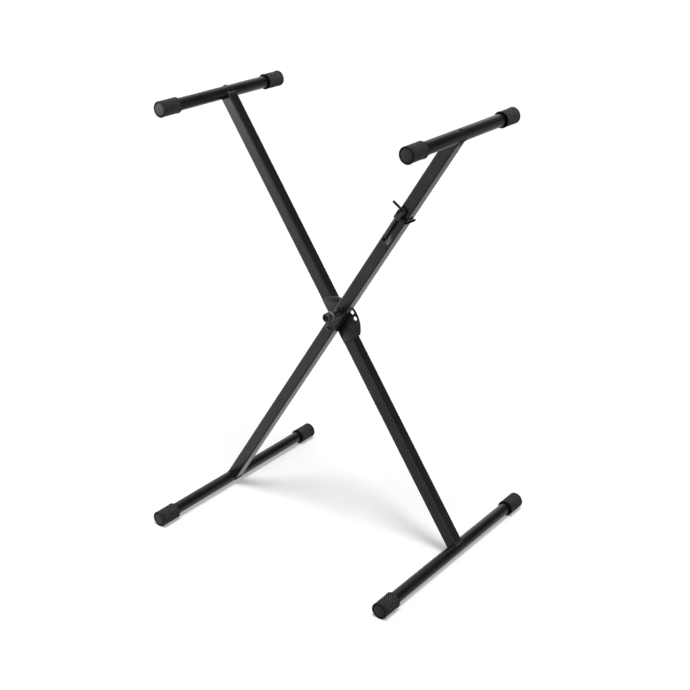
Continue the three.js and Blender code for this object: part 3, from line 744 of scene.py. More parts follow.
@dataclass(frozen=True)
class Arm:
    """An arm's own frame: a turn about Y and a lift to the pivot, and the y of the arm's middle."""

    tilt: float
    lift: float
    side: float

    def place(self, points: Array) -> Array:
        """Brings points from the arm's frame to the model's."""
        x, y, z = points[..., 0], points[..., 1], points[..., 2]
        cos, sin = math.cos(self.tilt), math.sin(self.tilt)
        return np.stack([x * cos + z * sin, y, self.lift + z * cos - x * sin], axis=-1)

    def matrix(self) -> Matrix:
        """The same as a matrix, for a mesh."""
        return Matrix.Translation((0, 0, self.lift)) @ Euler((0, self.tilt, 0)).to_matrix().to_4x4()


# ---------------------------------------------------------------- sub-assemblies


@dataclass
class Finishes:
    """Every look, made once."""

    coat: Look
    shaded_bar_coat: Look
    weld: Look
    left_rubber: Look
    right_rubber: Look
    base_rubber: Look
    black: Look
    wire: Look
    sleeve: Look
    turned: Look
    bright: Look
    moulded: Look
    disc: Look

    @classmethod
    def make(cls) -> "Finishes":
        """Builds them from the frame's sizes."""
        top, base = (-Place.of(f"{end}_cap_left_front").front for end in ("top", "base"))
        pin = Place.of("pull_collar").centre
        finishes = {
            "coat": PowderCoat(),
            # The bars' coat is the arms' coat painted darker, with less specular: a painted shade on the
            # bars.
            "shaded_bar_coat": PowderCoat(
                name="bar_powder_coat_painted_shade", base=grey(0.0025, 0.0003), pale=grey(0.0055, 0.0003), specular=0.36
            ),
            "weld": WeldCoat(),
            # The left caps' end discs are painted lighter than the right caps': a painted highlight, so
            # these two rubbers are lit and shaded copies of one material.
            "left_rubber": CapRubber(name="cap_rubber_left_painted_highlight", half_span=top, smooth=grey(0.075, 0.001)),
            "right_rubber": CapRubber(name="cap_rubber_right", half_span=top, smooth=grey(0.028, 0.001)),
            "base_rubber": CapRubber(name="cap_rubber_base", half_span=base, smooth=grey(0.022, 0.001)),
            "black": Blackened(),
            "wire": Blackened(
                name="black_wire", base=grey(0.005, 0.0005), drift=grey(0.01), bright=grey(0.05)
            ),
            "sleeve": Moulded(
                name="black_sleeve", slot=Slot.BLACK_STEEL, base=grey(0.002, 0.0002),
                pale=grey(0.004, 0.0002), specular=0.12,
            ),
            "turned": Turned(name="turned_steel", slot=Slot.PLAIN_STEEL, axis=pin),
            "bright": Turned(
                name="bright_plated", slot=Slot.BRIGHT_STEEL, axis=pin, base=grey(0.36, 0.01),
                dull=grey(0.2, 0.005), gloss=(0.14, 0.24),
            ),
            "moulded": Moulded(),
            "disc": Moulded(
                name="moulded_disc", base=grey(0.003, 0.0002), pale=grey(0.006, 0.0002), specular=0.12
            ),
        }
        return cls(**{key: finish.look() for key, finish in finishes.items()})


@dataclass
class Assembly:
    """A group of pieces that share the finishes."""

    finishes: Finishes

    def build_round(self, node: str, kind: str, grid: Array, body: Body, look: Look) -> None:
        """Builds a piece along Y from a surface about the third axis, in millimetres from its front."""
        piece = mesh_object(f"{node}_{kind}", Place.of(node).set(grid))
        settle(piece, [node], body, look)


@dataclass
class Frame(Assembly):
    """The two arms with their bars, screws and welds."""

    wall: float = 1.5 * MM
    corner: float = 2.5 * MM
    rim: float = 0.5 * MM
    weld: float = 0.9 * MM
    saddle_room: float = 2 * MM
    slot_radius: float = 2.6 * MM
    slot_x: float = -4.4 * MM
    slot_low: float = 0.2549
    slot_high: float = 0.2642
    lower_rows: tuple[float, float, int] = (-0.49, 0.24, 40)
    upper_rows: tuple[float, float, int] = (0.29, 0.49, 12)
    arms: dict[Body, Arm] = field(default_factory=dict)
    reach: dict[str, float] = field(default_factory=dict)

    def __post_init__(self) -> None:
        """Works the arms' frames out from the boxes of bars and arms."""
        lift = next(joint for joint in frame["joints"] if joint["name"] == "fold")["pos_m"][2]
        for body, name, side in ((Body.FRONT, "front", "right"), (Body.REAR, "rear", "left")):
            low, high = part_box(f"arm_{name}")
            top, base = Place.of(f"top_bar_{side}"), Place.of(f"base_bar_{side}")
            self.arms[body] = Arm(math.atan2(top.x, top.z - lift), lift, (low.y + high.y) / 2)
            self.reach = {
                end: math.hypot(bar.x, bar.z - lift) for end, bar in (("top", top), ("base", base))
            }
        self.size = high.y - low.y
        self.bar_radius = base.radius

    def saddle(self, x: Array, reach: float) -> Array:
        """How far along the arm a bar's surface lies: reach less the bar's height at x."""
        inside = np.maximum(self.bar_radius**2 - np.minimum(np.abs(x), self.bar_radius) ** 2, 0)
        return reach - np.sqrt(inside)

    def tube(self, body: Body) -> tuple[Array, Array]:
        """The arm's skin as a grid, and the cells of its slot.

        Rows run along the arm and columns round it. The end rows follow the bars' round surfaces. Two
        columns of the front face part along the slot by the half width of a capsule, and meet elsewhere.

        Args:
            body: which arm. Only the front one has the slot.

        Returns:
            The grid, in the arm's frame, and a mask of the cells to leave out.
        """
        loop = square_outline(self.size, self.corner)
        rows = np.concatenate([
            [-self.reach["base"], -self.reach["base"] + self.bar_radius + self.saddle_room],
            np.linspace(*self.lower_rows),
            self.slot_rows(),
            np.linspace(*self.upper_rows),
            [self.reach["top"] - self.bar_radius - self.saddle_room, self.reach["top"]],
        ])
        split = np.flatnonzero(np.isclose(loop[:, 1], -self.size / 2))[0] + 1
        loop = np.insert(loop, split, [[self.slot_x, -self.size / 2]] * 2, axis=0)
        x, y = (np.repeat(loop[None, :, axis], len(rows), axis=0) for axis in (0, 1))
        z = np.repeat(rows[:, None], len(loop), axis=1)
        z[0] = -self.saddle(x[0], self.reach["base"])
        z[-1] = self.saddle(x[-1], self.reach["top"])
        mask = np.zeros((len(rows) - 1, len(loop) - 1), bool)
        if body is Body.FRONT:
            past = np.maximum(np.maximum(self.slot_low - rows, rows - self.slot_high), 0)
            half = np.sqrt(np.maximum(self.slot_radius**2 - past**2, 0))
            x[:, split] -= half
            x[:, split + 1] += half
            mask[:, split] = (half[:-1] + half[1:]) > 0
        return np.stack([x, y + self.arms[body].side, z], axis=-1), mask

    def slot_rows(self) -> Array:
        """Rows past both ends of the slot, closest together on its round ends."""
        cos, sin = circle(9, 0, TURN / 4).T * self.slot_radius
        return np.concatenate([self.slot_low - cos, self.slot_high + sin])

    def build_arm(self, body: Body, node: str) -> None:
        """Builds one arm's tube, with its wall."""
        grid, mask = self.tube(body)
        piece = mesh_object(f"{node}_tube", self.arms[body].place(grid[:, ::-1]), mask[:, ::-1])
        wall = piece.modifiers.new("wall", "SOLIDIFY")
        wall.thickness = self.wall
        wall.offset = -1
        wall.use_even_offset = True
        settle(piece, [node], body, self.finishes.coat)

    def build_bar(self, body: Body, node: str) -> None:
        """Builds one round bar."""
        radius, length = Place.of(node).millimetres
        rim = self.rim / MM
        profile = filleted([(0, 0, 0), (radius, 0, rim), (radius, length, rim), (0, length, 0)])
        self.build_round(node, "tube", turned(profile, 96), body, self.finishes.shaded_bar_coat)

    def build_welds(self, body: Body, name: str) -> None:
        """Lays a bead round each end of an arm, where it meets its bar."""
        loop = square_outline(self.size + self.weld * 0.3, self.corner)
        dense = [np.linspace(start, end, 6)[:-1] for start, end in zip(loop[:-1], loop[1:])]
        x, y = np.concatenate([*dense, loop[:1]]).T
        arm = self.arms[body]
        for end, sign in (("base", -1), ("top", 1)):
            z = sign * (self.saddle(x, self.reach[end]) - self.weld * 0.2)
            path = np.stack([x, y + arm.side, z], axis=-1)
            piece = mesh_object(f"{name}_{end}_weld", arm.place(bead(path, self.weld)))
            settle(piece, [], body, self.finishes.weld)

    def build_screw(self, body: Body, node: str) -> None:
        """Builds a low button-head screw, with its hex socket, on top of a bar."""
        seat = self.reach["top"] + self.bar_radius
        profile = MM * np.array([
            [0, -1.1], [3.2, -1.1], [3.2, 1.05], [3.5, 1.3], [4.2, 1.3], [4.92, 1.1],
            [5.58, 0.7], [6, 0.1], [6, -1.2], [4, -1.2], [4, -30], [0, -30],
        ])
        grid = hexed(profile, [1, 1, 1, 1]) + [0, self.arms[body].side, seat]
        piece = mesh_object(f"{node}_button", self.arms[body].place(grid))
        settle(piece, [node], body, self.finishes.wire)

    def build(self) -> None:
        """Builds both arms and all that is fixed to them."""
        parts = ((Body.FRONT, "front", "right", "left"), (Body.REAR, "rear", "left", "right"))
        for body, name, top, base in parts:
            self.build_arm(body, f"arm_{name}")
            self.build_bar(body, f"top_bar_{top}")
            self.build_bar(body, f"base_bar_{base}")
            self.build_welds(body, f"arm_{name}")
            self.build_screw(body, f"bar_screw_{top}")


@dataclass
class Caps(Assembly):
    """The eight ridged rubber caps. The caps' sizes are in millimetres.

    Args:
        top_lean: a top cap's share of the ridges' depth for the first of its two sets.
        base_lean: the same for a base cap, one half where both sets cross alike.
    """

    ridges: int = 20
    ridge_pitch: float = 6.4
    ridge_depth: float = 1.7
    top_lean: float = 0.88
    base_lean: float = 0.5
    groove: float = 13.2
    groove_width: float = 2.1
    groove_depth: float = 2.2
    dome: float = 0.55
    sink: float = 0.6
    edge: float = 0.3
    flank_start: float = 3.0
    flank_stop: float = 1.6
    bore_step: float = 1.3
    mouth: float = 3.2
    disc_zone: float = 9.0
    # rim_tone: the crest value on the rounded rim, low enough to keep the ridges' painted highlight off it
    rim_tone: float = 0.3
    sides: int = 252
    rows: int = 88
    crease: float = 60.0

    def outline(self, place: Place, bore: float) -> tuple[Array, Array, Array]:
        """A cap's profile from the middle of its end, round its side, to the inside of its mouth.

        Args:
            place: the CAD cap's place.
            bore: the bar's radius, in millimetres.

        Returns:
            Rows of radius and distance from the end, the ridges' share at each row, and how far each
            row is centred on the outside rather than on the bore, from 0 to 1.
        """
        (radius, length), step = place.millimetres, bore + self.bore_step
        inner, outer = self.groove - self.groove_width / 2, self.groove + self.groove_width / 2
        bottom, last, back = self.sink + self.groove_depth, length - self.flank_stop, length - self.mouth
        sweep = np.linspace(0, 1, 14)
        disc = np.stack([sweep * (inner - self.edge), sweep**2.4 * self.dome], axis=-1)
        rim = filleted([
            (inner - self.edge, self.dome, 0), (inner, self.sink, self.edge), (inner, bottom, 0.1),
            (outer, bottom, 0.1), (outer, 0.5, 0.35), (radius, 0.5, 0.9), (radius, self.flank_start, 0),
        ])
        side = np.linspace(self.flank_start, last, self.rows)
        flank = np.stack([np.full(self.rows, radius), side], axis=-1)
        mouth = filleted([
            (radius, last, 0), (radius, length, 0.8), (step, length, 0.4), (step, back, 0.2),
            (bore + 0.1, back, 0),
        ])
        profile = np.concatenate([disc, rim[1:], flank[1:], mouth[1:]])
        at = profile[:, 1]
        share = np.where(profile[:, 0] > radius - 0.001, 1.0, 0.0)
        share *= np.clip((at - 2.2) / 1.5, 0, 1) * np.clip(length - 1.2 - at, 0, 1)
        centred = np.ones(len(profile))
        centred[-8:] = np.clip((profile[-8:, 0] - step) / 1.2, 0, 1)
        return profile, share[:, None], centred[:, None]

    def build_cap(self, node: str, bar: str, body: Body, lean: float, rubber: Look) -> None:
        """Builds one cap.

        Two sets of helical ridges cross on its side. Each sinks as the distance from its crest, so that
        at an angle t and a distance s along the cap the two are at t n / turn + s / pitch and
        t n / turn - s / pitch.

        Args:
            node: the CAD cap.
            bar: the bar that it sits on.
            body: what it rides on.
            lean: the first set's share of the depth.
            rubber: its look.
        """
        place, carrier = Place.of(node), Place.of(bar)
        profile, share, centred = self.outline(place, carrier.radius / MM)
        radius, at = profile[:, :1], profile[:, 1:]
        turn = np.linspace(0, self.ridges, self.sides + 1)[None]
        ahead, against = (
            np.abs(2 * np.mod(turn + sign * at / self.ridge_pitch, 1) - 1) for sign in (1, -1)
        )
        sunk = share * (lean * ahead + (1 - lean) * against)
        # crest: 1 on the end disc, which takes the disc's colour; elsewhere the ridges' painted highlight,
        # falling to the painted shade of the hollows
        disc = (radius < self.groove - self.groove_width * 0.55) & (at < self.disc_zone)
        crest = np.where(disc, 1.0, (1 - sunk) * np.maximum(share, self.rim_tone))
        grid = turned(profile, self.sides, -self.ridge_depth * sunk) * MM
        grid[..., 2] = place.front + grid[..., 2] if place.front < 0 else place.back - grid[..., 2]
        grid[..., 1] += centred * (place.z - carrier.z)
        grid = along_y(grid, carrier.centre)
        piece = mesh_object(f"{node}_ridged", grid, crest=crest, crease=self.crease)
        settle(piece, [node], body, rubber)

    def build(self) -> None:
        """Builds all eight."""
        looks = self.finishes
        for side, body, rubber in (
            ("left", Body.REAR, looks.left_rubber), ("right", Body.FRONT, looks.right_rubber),
        ):
            for end in ("front", "back"):
                name = f"cap_{side}_{end}"
                self.build_cap(f"top_{name}", f"top_bar_{side}", body, self.top_lean, rubber)
                self.build_cap(
                    f"base_{name}", f"base_bar_{side}", Body(name), self.base_lean, looks.base_rubber
                )


@dataclass
class Pivot(Assembly):
    """The pivot bolt, its washers and nut, and the lock plate. Its lengths are in millimetres."""

    arms: dict[Body, Arm]
    plate_radius: float = 58.0
    plate_first: float = -13.0
    plate_tail: float = 47.0
    plate_side: float = 9.7
    plate_corner: float = 5.0
    plate_bevel: float = 0.9
    bolt_hole: float = 4.4
    hole_radius: float = 4.5
    hole_reach: float = 49.3
    hole_pitch: float = 16.2
    holes: int = 5
    hole_in_use: int = 2
    shank: float = 4.0
    socket: float = 2.9
    thread: float = 1.25
    thread_depth: float = 0.6
    thread_length: float = 11.0
    thread_rows: int = 90
    ring_bore: float = 4.3
    ring_edge: float = 0.3
    nut_bore: float = 4.15
    nut_height: float = 0.72

    def plate_outline(self, axis: float) -> Array:
        """The plate's outline: a wide arc, then straight down the arm's side, round a corner and back."""
        along = np.array([math.cos(axis), math.sin(axis)])
        across = np.array([-along[1], along[0]])
        last = axis + math.asin(self.plate_side / self.plate_radius)
        arc = circle(96, math.radians(self.plate_first), last) * self.plate_radius
        corner = across * self.plate_side - along * self.plate_tail
        rest = filleted([(*arc[-1], 0), (*corner, self.plate_corner), (*arc[0], 0)], 12)
        return np.concatenate([arc, rest[1:-1]])

    def build_plate(self) -> None:
        """Builds the lock plate with its five holes and the pivot's hole."""
        low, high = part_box("lock_plate")
        rear, front = self.arms[Body.REAR], self.arms[Body.FRONT]
        ring = circle(49)[:-1]
        loops = [self.plate_outline(TURN / 4 - rear.tilt), ring * self.bolt_hole]
        for number in range(self.holes):
            angle = TURN / 4 - front.tilt + math.radians((number - self.hole_in_use) * self.hole_pitch)
            centre = np.array([math.cos(angle), math.sin(angle)]) * self.hole_reach
            loops.append(ring * self.hole_radius + centre)
        mesh = flat_mesh([loop * MM for loop in loops], high.y - low.y, self.plate_bevel * MM)
        mesh.transform(upright(0, high.y, rear.lift))
        settle(shaded("lock_plate_cut", mesh), ["lock_plate"], Body.REAR, self.finishes.coat)

    def build_bolt(self) -> None:
        """Builds the bolt: a flanged button head with a hex socket, a shank and a threaded tail."""
        bolt, shank, socket = Place.of("pivot_bolt"), self.shank, self.socket
        wide, length = bolt.millimetres
        head = np.array([
            [0, 3], [socket, 3], [socket, 0.25], [socket + 0.3, 0], [wide * 0.5, 0], [wide * 0.64, 0.3],
            [wide * 0.74, 0.9], [wide * 0.78, 1.5], [wide * 0.97, 1.75], [wide, 2.05], [wide, 2.45],
            [wide * 0.98, 2.6], [shank, 2.6],
        ])
        last = length - 0.6
        along = np.linspace(last - self.thread_length, last, self.thread_rows)
        tail = np.stack([np.full(self.thread_rows, shank), along], axis=-1)
        end = [[shank - 0.7, length], [0, length]]
        grid = hexed(np.concatenate([head, tail, end]), [1, 1, 1, 1])
        turn = np.linspace(0, 1, grid.shape[1])[None]
        wave = np.abs(2 * np.mod((along[:, None] + bolt.front / MM) / self.thread + turn, 1) - 1)
        grid[len(head):-len(end), :, :2] *= (1 - wave * self.thread_depth / shank)[..., None]
        self.build_round("pivot_bolt", "button", grid, Body.REAR, self.finishes.black)

    def build_ring(self, node: str, look: Look) -> None:
        """Builds a washer or spacer with rounded edges."""
        (wide, deep), bore, edge = Place.of(node).millimetres, self.ring_bore, self.ring_edge
        start = ((bore + wide) / 2, 0, 0)
        profile = filleted([
            start, (wide, 0, edge), (wide, deep, edge), (bore, deep, edge), (bore, 0, edge), start,
        ])
        self.build_round(node, "round", turned(profile), Body.REAR, look)

    def build_nut(self) -> None:
        """Builds the lock nut: a chamfered hexagon with a round collar round its insert."""
        (flat, deep), bore = Place.of("pivot_nut").millimetres, self.nut_bore
        step = deep * self.nut_height
        profile = np.array([
            [bore + 0.4, 0], [flat * 0.97, 0], [flat, 0.5], [flat, step - 0.8], [flat * 0.95, step],
            [flat * 0.84, step + 0.1], [flat * 0.82, deep - 0.7], [flat * 0.74, deep],
            [bore + 0.2, deep], [bore, deep - 0.3], [bore, 0.3], [bore + 0.4, 0],
        ])
        grid = hexed(profile, [0, 0.2, 1, 1, 0.3])
        self.build_round("pivot_nut", "hex", grid, Body.REAR, self.finishes.black)

    def build(self) -> None:
        """Builds the pivot."""
        self.build_plate()
        self.build_bolt()
        self.build_nut()
        self.build_ring("pivot_washer", self.finishes.black)
        self.build_ring("pivot_spacer", self.finishes.moulded)


@dataclass
class Lock(Assembly):
    """The barrel, lock pin, collar and knob above the pivot. Its sizes are in millimetres."""

    shank: float = 4.0
    knob_bore: float = 4.3
    collar_bore: float = 4.25
    weld: float = 1.2
    weld_pitch: float = 1.9
    knurls: int = 24
    knurl_depth: float = 0.6
    recess: float = 6.25

    def build_turned(
        self, node: str, corners: Sequence[Corner], body: Body, look: Look, knurled: bool = False
    ) -> None:
        """Builds a turned piece along Y.

        Args:
            node: the CAD node that it replaces.
            corners: radius, height above the node's front face (smallest y) and fillet of each corner.
            body: what it rides on.
            look: its material and slot.
            knurled: whether its widest part has straight knurls.
        """
        profile = filleted(corners)
        sides, ripple = 72, 0.0
        if knurled:
            sides = 12 * self.knurls
            wave = 0.5 - 0.5 * np.cos(np.linspace(0, TURN, sides + 1) * self.knurls)
            widest = profile[:, :1] > Place.of(node).millimetres[0] - 0.02
            ripple = -self.knurl_depth * widest * wave
        self.build_round(node, "turned", turned(profile, sides, ripple), body, look)

    def build_barrel(self) -> None:
        """Builds the barrel and the weld at its foot."""
        barrel, bore = Place.of("lock_barrel"), self.knob_bore
        wide, deep = barrel.millimetres
        self.build_turned("lock_barrel", [
            (wide - 2, 0, 0), (wide, 0, 0.8), (wide, deep, 0.1), (wide - 1.6, deep, 0.1),
            (wide - 1.6, 3, 0.2), (bore, 3, 0.1), (bore, 0, 0.3), (wide - 2, 0, 0),
        ], Body.FRONT, self.finishes.coat)
        x, z = circle(97).T * (wide + 0.2)
        ring = barrel.set(np.stack([x, z, np.full(97, deep - 0.1)], axis=-1))
        piece = mesh_object("lock_barrel_weld", bead(ring, self.weld * MM, self.weld_pitch * MM))
        settle(piece, [], Body.FRONT, self.finishes.weld)

    def build_pin(self) -> None:
        """Builds the pin, and the bright collar that it is pulled by."""
        pin, shank = Place.of("lock_pin"), self.shank
        flange, length = pin.millimetres
        stop = (Place.of("lock_barrel").back - pin.front) / MM - 7.7
        self.build_turned("lock_pin", [
            (0, 0, 0), (shank, 0, 0.4), (shank, stop, 0.2), (flange, stop, 0.2),
            (flange, stop + 2, 0.2), (shank, stop + 2, 0.2), (shank, length - 0.8, 0.3),
            (shank - 0.8, length, 0.2), (0, length, 0),
        ], Body.PIN, self.finishes.turned)
        (wide, deep), bore = Place.of("pull_collar").millimetres, self.collar_bore
        self.build_turned("pull_collar", [
            (wide - 3, 0, 0), (wide - 0.9, 0, 0.2), (wide, 0.9, 0.2), (wide, deep - 0.9, 0.2),
            (wide - 0.9, deep, 0.2), (bore + 0.6, deep, 0.2), (bore, deep - 0.6, 0.1),
            (bore, 0, 0.2), (wide - 3, 0, 0),
        ], Body.PIN, self.finishes.bright, knurled=True)

    def build_knob(self) -> None:
        """Builds the knob: a rounded drum, waisted for the fingers, with a dark disc in its face."""
        knob, recess, bore = Place.of("pull_knob"), self.recess, self.knob_bore
        wide, deep = knob.millimetres
        face = filleted([
            (0, 1.5, 0), (recess - 2, 1.3, 3), (recess - 0.3, 0.9, 0.3), (recess - 0.3, 2.15, 0.1),
            (0, 2.15, 0),
        ])
        disc = mesh_object("pull_knob_disc", knob.set(turned(face)))
        settle(disc, [], Body.PIN, self.finishes.disc)
        self.build_turned("pull_knob", [
            (0, 2.2, 0), (recess - 1.2, 2.2, 2), (recess, 2.2, 0.3), (recess, 0.15, 0.4),
            (wide - 1, 0, 1.2), (wide, 1.8, 1.2), (wide, 4.4, 0.8), (wide - 0.7, 5.6, 1.5),
            (wide - 0.7, deep - 4, 1.5), (wide - 0.1, deep - 2.4, 0.8), (wide - 0.2, deep, 0.8),
            (bore, deep, 0.2), (bore, deep - 2, 0), (0, deep - 2, 0),
        ], Body.PIN, self.finishes.moulded)

    def build(self) -> None:
        """Builds the lock."""
        self.build_barrel()
        self.build_pin()
        self.build_knob()


@dataclass(frozen=True)
class Rod:
    """A bent round rod that lies in a plane of an arm's frame.

    Args:
        corners: two coordinates and the bend radius of each corner.
        radius: the rod's radius.
        plane: which of x, y, z the two coordinates are.
        level: the third coordinate.
        tips: whether the first and last ends are round.
        sides: points round the rod.
    """

    corners: Sequence[Corner]
    radius: float
    plane: tuple[int, int]
    level: float
    tips: tuple[bool, bool] = (False, False)
    sides: int = 20

    def grid(self) -> Array:
        """The rod's skin, drawn together to a point at both ends."""
        line = filleted(self.corners, 12)
        length = travelled(line)
        rounds = self.radius * (1 - np.cos(np.linspace(0, TURN / 4, 8)))
        stations = np.unique(np.concatenate([length, rounds, length[-1] - rounds]).round(7))
        path = np.full((len(stations), 3), self.level)
        for axis, column in zip(self.plane, line.T):
            path[:, axis] = np.interp(stations, length, column)
        size = np.full(len(stations), self.radius)
        for tip, gone in zip(self.tips, (stations, length[-1] - stations)):
            if tip:
                ball = np.sqrt(np.clip(1 - (1 - gone / self.radius) ** 2, 0, 1))
                size = np.where(gone < self.radius, self.radius * ball, size)
        normal = np.broadcast_to(np.eye(3)[3 - sum(self.plane)], path.shape)
        skin = piped(path, unit(np.gradient(path, axis=0)), normal, size, self.sides)
        first, last = (np.repeat(path[row, None, None], self.sides + 1, axis=1) for row in (0, -1))
        return np.concatenate([first, skin, last])


@dataclass
class Trigger(Assembly):
    """The trigger block, its finger bars, guide screw and pull rod, in the front arm's frame."""

    arm: Arm
    face: float
    half_arm: float = 12.7 * MM
    middle: float = 0.329
    offset: float = -4.4 * MM
    width: float = 14 * MM
    length: float = 25 * MM
    height: float = 10 * MM
    corner: float = 4 * MM
    left_corner: float = 1.2 * MM
    bevel: float = 0.9 * MM
    gap: float = 0.3 * MM
    finger: float = 2.5 * MM
    finger_lift: float = 5.3 * MM
    finger_bend: float = 6 * MM
    left_rise: float = 10 * MM
    ledge: float = 3 * MM
    left_tip: float = 31 * MM
    right_drop: float = 7.5 * MM
    rod: float = 2.3 * MM
    rod_lift: float = 3.1 * MM
    rod_top_lift: float = 6.2 * MM
    rod_bend: float = 10 * MM
    rod_inset: float = 5.7 * MM
    rod_entry: float = 0.270
    rod_end: float = 0.0656
    slot_side: float = -3 * MM
    slot_low: float = -0.5 * MM
    slot_radius: float = 1.8 * MM
    travel: float = 4.8 * MM

    def build_block(self) -> None:
        """Builds the block, round-cornered on its right, slotted, and cut down over the left finger."""
        half, side, left = self.length / 2, self.width / 2, self.left_corner
        outline = filleted([
            (0, -half, 0), (side, -half, self.corner), (side, half, self.corner),
            (-side, half, left), (-side, -half, left), (0, -half, 0),
        ], 10)[:-1]
        cap = circle(13, 0, TURN / 2) * self.slot_radius
        upper = cap + [self.slot_side, self.slot_low + self.travel]
        lower = -cap + [self.slot_side, self.slot_low]
        loops = [outline, np.concatenate([upper, lower])]
        mesh = carved(flat_mesh(loops, self.height, self.bevel), self.ledge_cutter())
        mesh.transform(self.arm.matrix() @ upright(self.offset, self.face - self.gap, self.middle))
        piece = shaded("trigger_block_body", mesh)
        settle(piece, ["trigger_block"], Body.TRIGGER, self.finishes.moulded)

    def ledge_cutter(self) -> bpy.types.Mesh:
        """The box of air over the left finger bar, in the block's own frame."""
        low, high, side = self.left_rise - self.ledge, self.length, self.width
        outline = np.array([[-side, low], [side, low], [side, high], [-side, high]])
        cutter = flat_mesh([outline], self.height, self.gap)
        cutter.transform(Matrix.Translation((0, 0, self.finger_lift - self.gap)))
        return cutter

    def build_rod(self, name: str, node: str, rod: Rod, look: Look) -> None:
        """Builds a rod that moves with the trigger."""
        settle(mesh_object(name, self.arm.place(rod.grid())), [node], Body.TRIGGER, look)

    def build_fingers(self) -> None:
        """Builds the straight left finger bar and the right one, which bends back round the arm."""
        lift = self.face - self.finger_lift
        side = self.half_arm + 2 * self.gap + self.finger
        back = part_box("finger_bar_right")[1].y
        left = [(-self.left_tip, lift, 0), (self.offset - MM, lift, 0)]
        right = [(self.offset + 3.8 * MM, lift, 0), (side, lift, self.finger_bend), (side, back, 0)]
        for name, corners, level, tips in (
            ("finger_bar_left", left, self.middle + self.left_rise, (True, False)),
            ("finger_bar_right", right, self.middle - self.right_drop, (False, True)),
        ):
            rod = Rod(corners, self.finger, (0, 1), level, tips)
            self.build_rod(f"{name}_rod", name, rod, self.finishes.sleeve)

    def build_pull_rod(self) -> None:
        """Builds the pull rod: down the arm's face, through the slot and down inside the arm."""
        outside, inside = self.face - self.rod_lift, self.arm.side
        first = self.rod_entry - self.rod_bend * math.tan(math.pi / 8)
        top = self.middle - self.length / 2 + self.rod_inset
        corners = [
            (self.face - self.rod_top_lift, top, 0), (outside, first, self.rod_bend),
            (inside, first - (inside - outside), self.rod_bend), (inside, self.rod_end, 0),
        ]
        rod = Rod(corners, self.rod, (1, 2), self.offset)
        self.build_rod("pull_rod_wire", "pull_rod", rod, self.finishes.wire)

    def build_screw(self) -> None:
        """Builds the guide screw's button head, with its hex socket, and its shank."""
        profile = MM * np.array([
            [0, 0.8], [1, 0.8], [1, 1.9], [1.1, 2], [1.68, 2], [2.38, 1.6], [2.716, 0.9],
            [2.8, 0.15], [2.66, -0.3], [1.5, -0.3], [1.5, -13.6], [0, -13.6],
        ])
        grid = hexed(profile, [1, 1, 1, 1], 48)
        seat = self.face - self.height - 2 * self.gap
        centre = (self.offset + self.slot_side, self.middle + self.slot_low)
        grid[..., 2] = seat - grid[..., 2]
        piece = mesh_object("guide_screw_button", self.arm.place(along_y(grid, centre)))
        settle(piece, ["guide_screw"], Body.FRONT, self.finishes.black)

    def build(self) -> None:
        """Builds the trigger."""
        self.build_block()
        self.build_fingers()
        self.build_pull_rod()
        self.build_screw()


@dataclass
class Hidden(Assembly):
    """CAD pieces that keep their shape and only get a finish."""

    steel: tuple[str, ...] = ("pivot_sleeve_front", "pivot_sleeve_rear", "pin_cross_pin", "pin_spring")
    plastic: tuple[str, ...] = ("arm_plug_left", "arm_plug_right", "release_ramp")

    def dress(self) -> None:
        """Gives each its material."""
        for names, look in ((self.steel, self.finishes.turned), (self.plastic, self.finishes.moulded)):
            for name in names:
                materials = frame["nodes"][name].data.materials
                materials.clear()
                materials.append(look.material)
                log.info("%s: dressed", name)


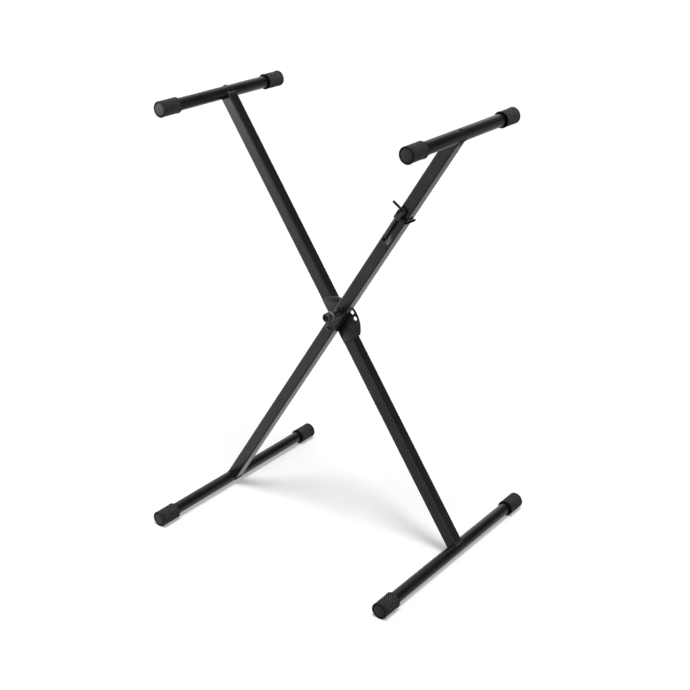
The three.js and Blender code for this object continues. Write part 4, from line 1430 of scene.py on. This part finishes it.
@dataclass
class Studio:
    """A pale floor, soft lamps, a white surround and the camera of the photograph."""

    place: tuple[float, float, float] = (1.5125, -1.9735, 1.4876)
    azimuth: float = 35.67
    elevation: float = 23.42
    lens: float = 68.02
    sensor: float = 36.0
    shift: float = -0.0439
    floor_size: float = 60.0
    floor_colour: float = 0.8
    floor_lift: float = 0.32
    sheen: tuple[float, float] = (0.85, 0.45)
    sheen_zone: tuple[float, float] = (0.05, 0.5)
    front_sheen: tuple[float, float] = (0.35, 1.7)
    front_zone: tuple[float, float] = (0.5, 0.72)
    ambient: float = 0.27
    overhead: float = 2.1
    overhead_softness: float = 20.0
    overhead_place: tuple[float, float, float] = (0.55, -0.5, 3.0)
    key: float = 8.0
    key_size: float = 0.8
    key_place: tuple[float, float, float] = (-2.0, -1.8, 0.75)
    key_aim: tuple[float, float, float] = (0.0, 0.0, 0.5)
    dim_toward: tuple[float, float, float] = (0.56, 0.74, 0.37)
    dim_share: float = 0.84
    dim_zone: tuple[float, float] = (0.6, 0.95)

    def build_camera(self) -> None:
        """Places the camera, level, at the photograph's point of view."""
        data = bpy.data.cameras.new("camera")
        data.lens = self.lens
        data.sensor_width = self.sensor
        data.shift_x = self.shift
        camera = linked("camera", data)
        camera.location = self.place
        camera.rotation_euler = (math.radians(90 - self.elevation), 0, math.radians(self.azimuth))
        bpy.context.scene.camera = camera

    def build_floor(self) -> None:
        """Lays a pale floor that keeps the stand's shadow.

        The camera sees it lifted to white. Gloss sees a glow instead, behind the stand weaker on the
        right, and in front of it by how far a ray heads left, as from a lamp low on the left.
        """
        half = self.floor_size / 2
        flat = np.array([[[-half, -half, 0], [-half, half, 0]], [[half, -half, 0], [half, half, 0]]])
        floor = mesh_object("floor", flat)
        graph = Graph.named("pale_floor")
        seen, gloss = graph.rays()
        behind = graph.axes(graph.place())[0].ramp(*self.sheen_zone, *self.sheen)
        leftward, forward, _ = graph.axes(graph.term("NewGeometry", output="Incoming"))
        front = leftward.ramp(*self.front_zone, *self.front_sheen)
        sheen = behind + (front - behind) * forward.ramp(-0.2, 0.2)
        colour = (*grey(self.floor_colour), 1.0)
        diffuse = graph.term("BsdfDiffuse", NONE, {"Color": colour})
        lifted = graph.term("Emission", NONE, {"Strength": seen * self.floor_lift})
        glow = graph.term("Emission", NONE, {"Strength": sheen})
        both = graph.term("AddShader", NONE, {0: diffuse, 1: lifted})
        pale = graph.end(graph.term("MixShader", NONE, {0: gloss, 1: both, 2: glow}))
        pale.cycles.emission_sampling = "NONE"
        floor.data.materials.append(pale)

    def hang(self, data: bpy.types.Light, place: Sequence[float], aim: Sequence[float]) -> None:
        """Hangs a lamp that faces a point."""
        lamp = linked(data.name, data)
        lamp.location = place
        lamp.rotation_euler = (Vector(aim) - Vector(place)).to_track_quat("-Z", "Y").to_euler()
        lamp.visible_camera = False

    def build_lamps(self) -> None:
        """Hangs a soft lamp straight above, and a broad one low on the left in front."""
        above = bpy.data.lights.new("overhead", "SUN")
        above.energy = self.overhead
        above.angle = math.radians(self.overhead_softness)
        self.hang(above, self.overhead_place, (0.0, 0.0, 0.0))
        broad = bpy.data.lights.new("left_front", "AREA")
        broad.size = self.key_size
        broad.energy = self.key
        self.hang(broad, self.key_place, self.key_aim)

    def build_surround(self) -> None:
        """Makes the world white to the camera and to gloss, and plain light elsewhere.

        Gloss meets a dimmer part, behind the stand on the right: one less a smooth step of the cosine
        between the ray and the middle of that part.
        """
        graph = Graph(bpy.data.worlds.new("surround"))
        seen, gloss = graph.rays()
        ray = graph.term("TexCoord", output="Generated")
        middle = tuple(Vector(self.dim_toward).normalized())
        sockets = {0: ray, 1: middle}
        facing = graph.term("VectorMath", {"operation": "DOT_PRODUCT"}, sockets, "Value")
        dim = facing.ramp(*self.dim_zone) * self.dim_share
        strength = self.ambient + seen * (1 - self.ambient) + gloss * (1 - self.ambient - dim)
        sky = graph.term("Background", NONE, {"Color": (1, 1, 1, 1), "Strength": strength})
        bpy.context.scene.world = graph.end(sky, "OutputWorld")

    def build(self) -> None:
        """Builds the studio."""
        self.build_camera()
        self.build_floor()
        self.build_surround()
        self.build_lamps()
        bpy.context.scene.view_settings.view_transform = "Standard"


def main() -> None:
    """Builds the studio, then each sub-assembly in order."""
    logging.basicConfig(level=logging.INFO, format="%(name)s %(message)s")
    Studio().build()
    finishes = Finishes.make()
    stand = Frame(finishes)
    stand.build()
    Caps(finishes).build()
    Pivot(finishes, stand.arms).build()
    Lock(finishes).build()
    Trigger(finishes, stand.arms[Body.FRONT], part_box("arm_front")[0].y).build()
    Hidden(finishes).dress()


if __name__ == "__main__":
    main()
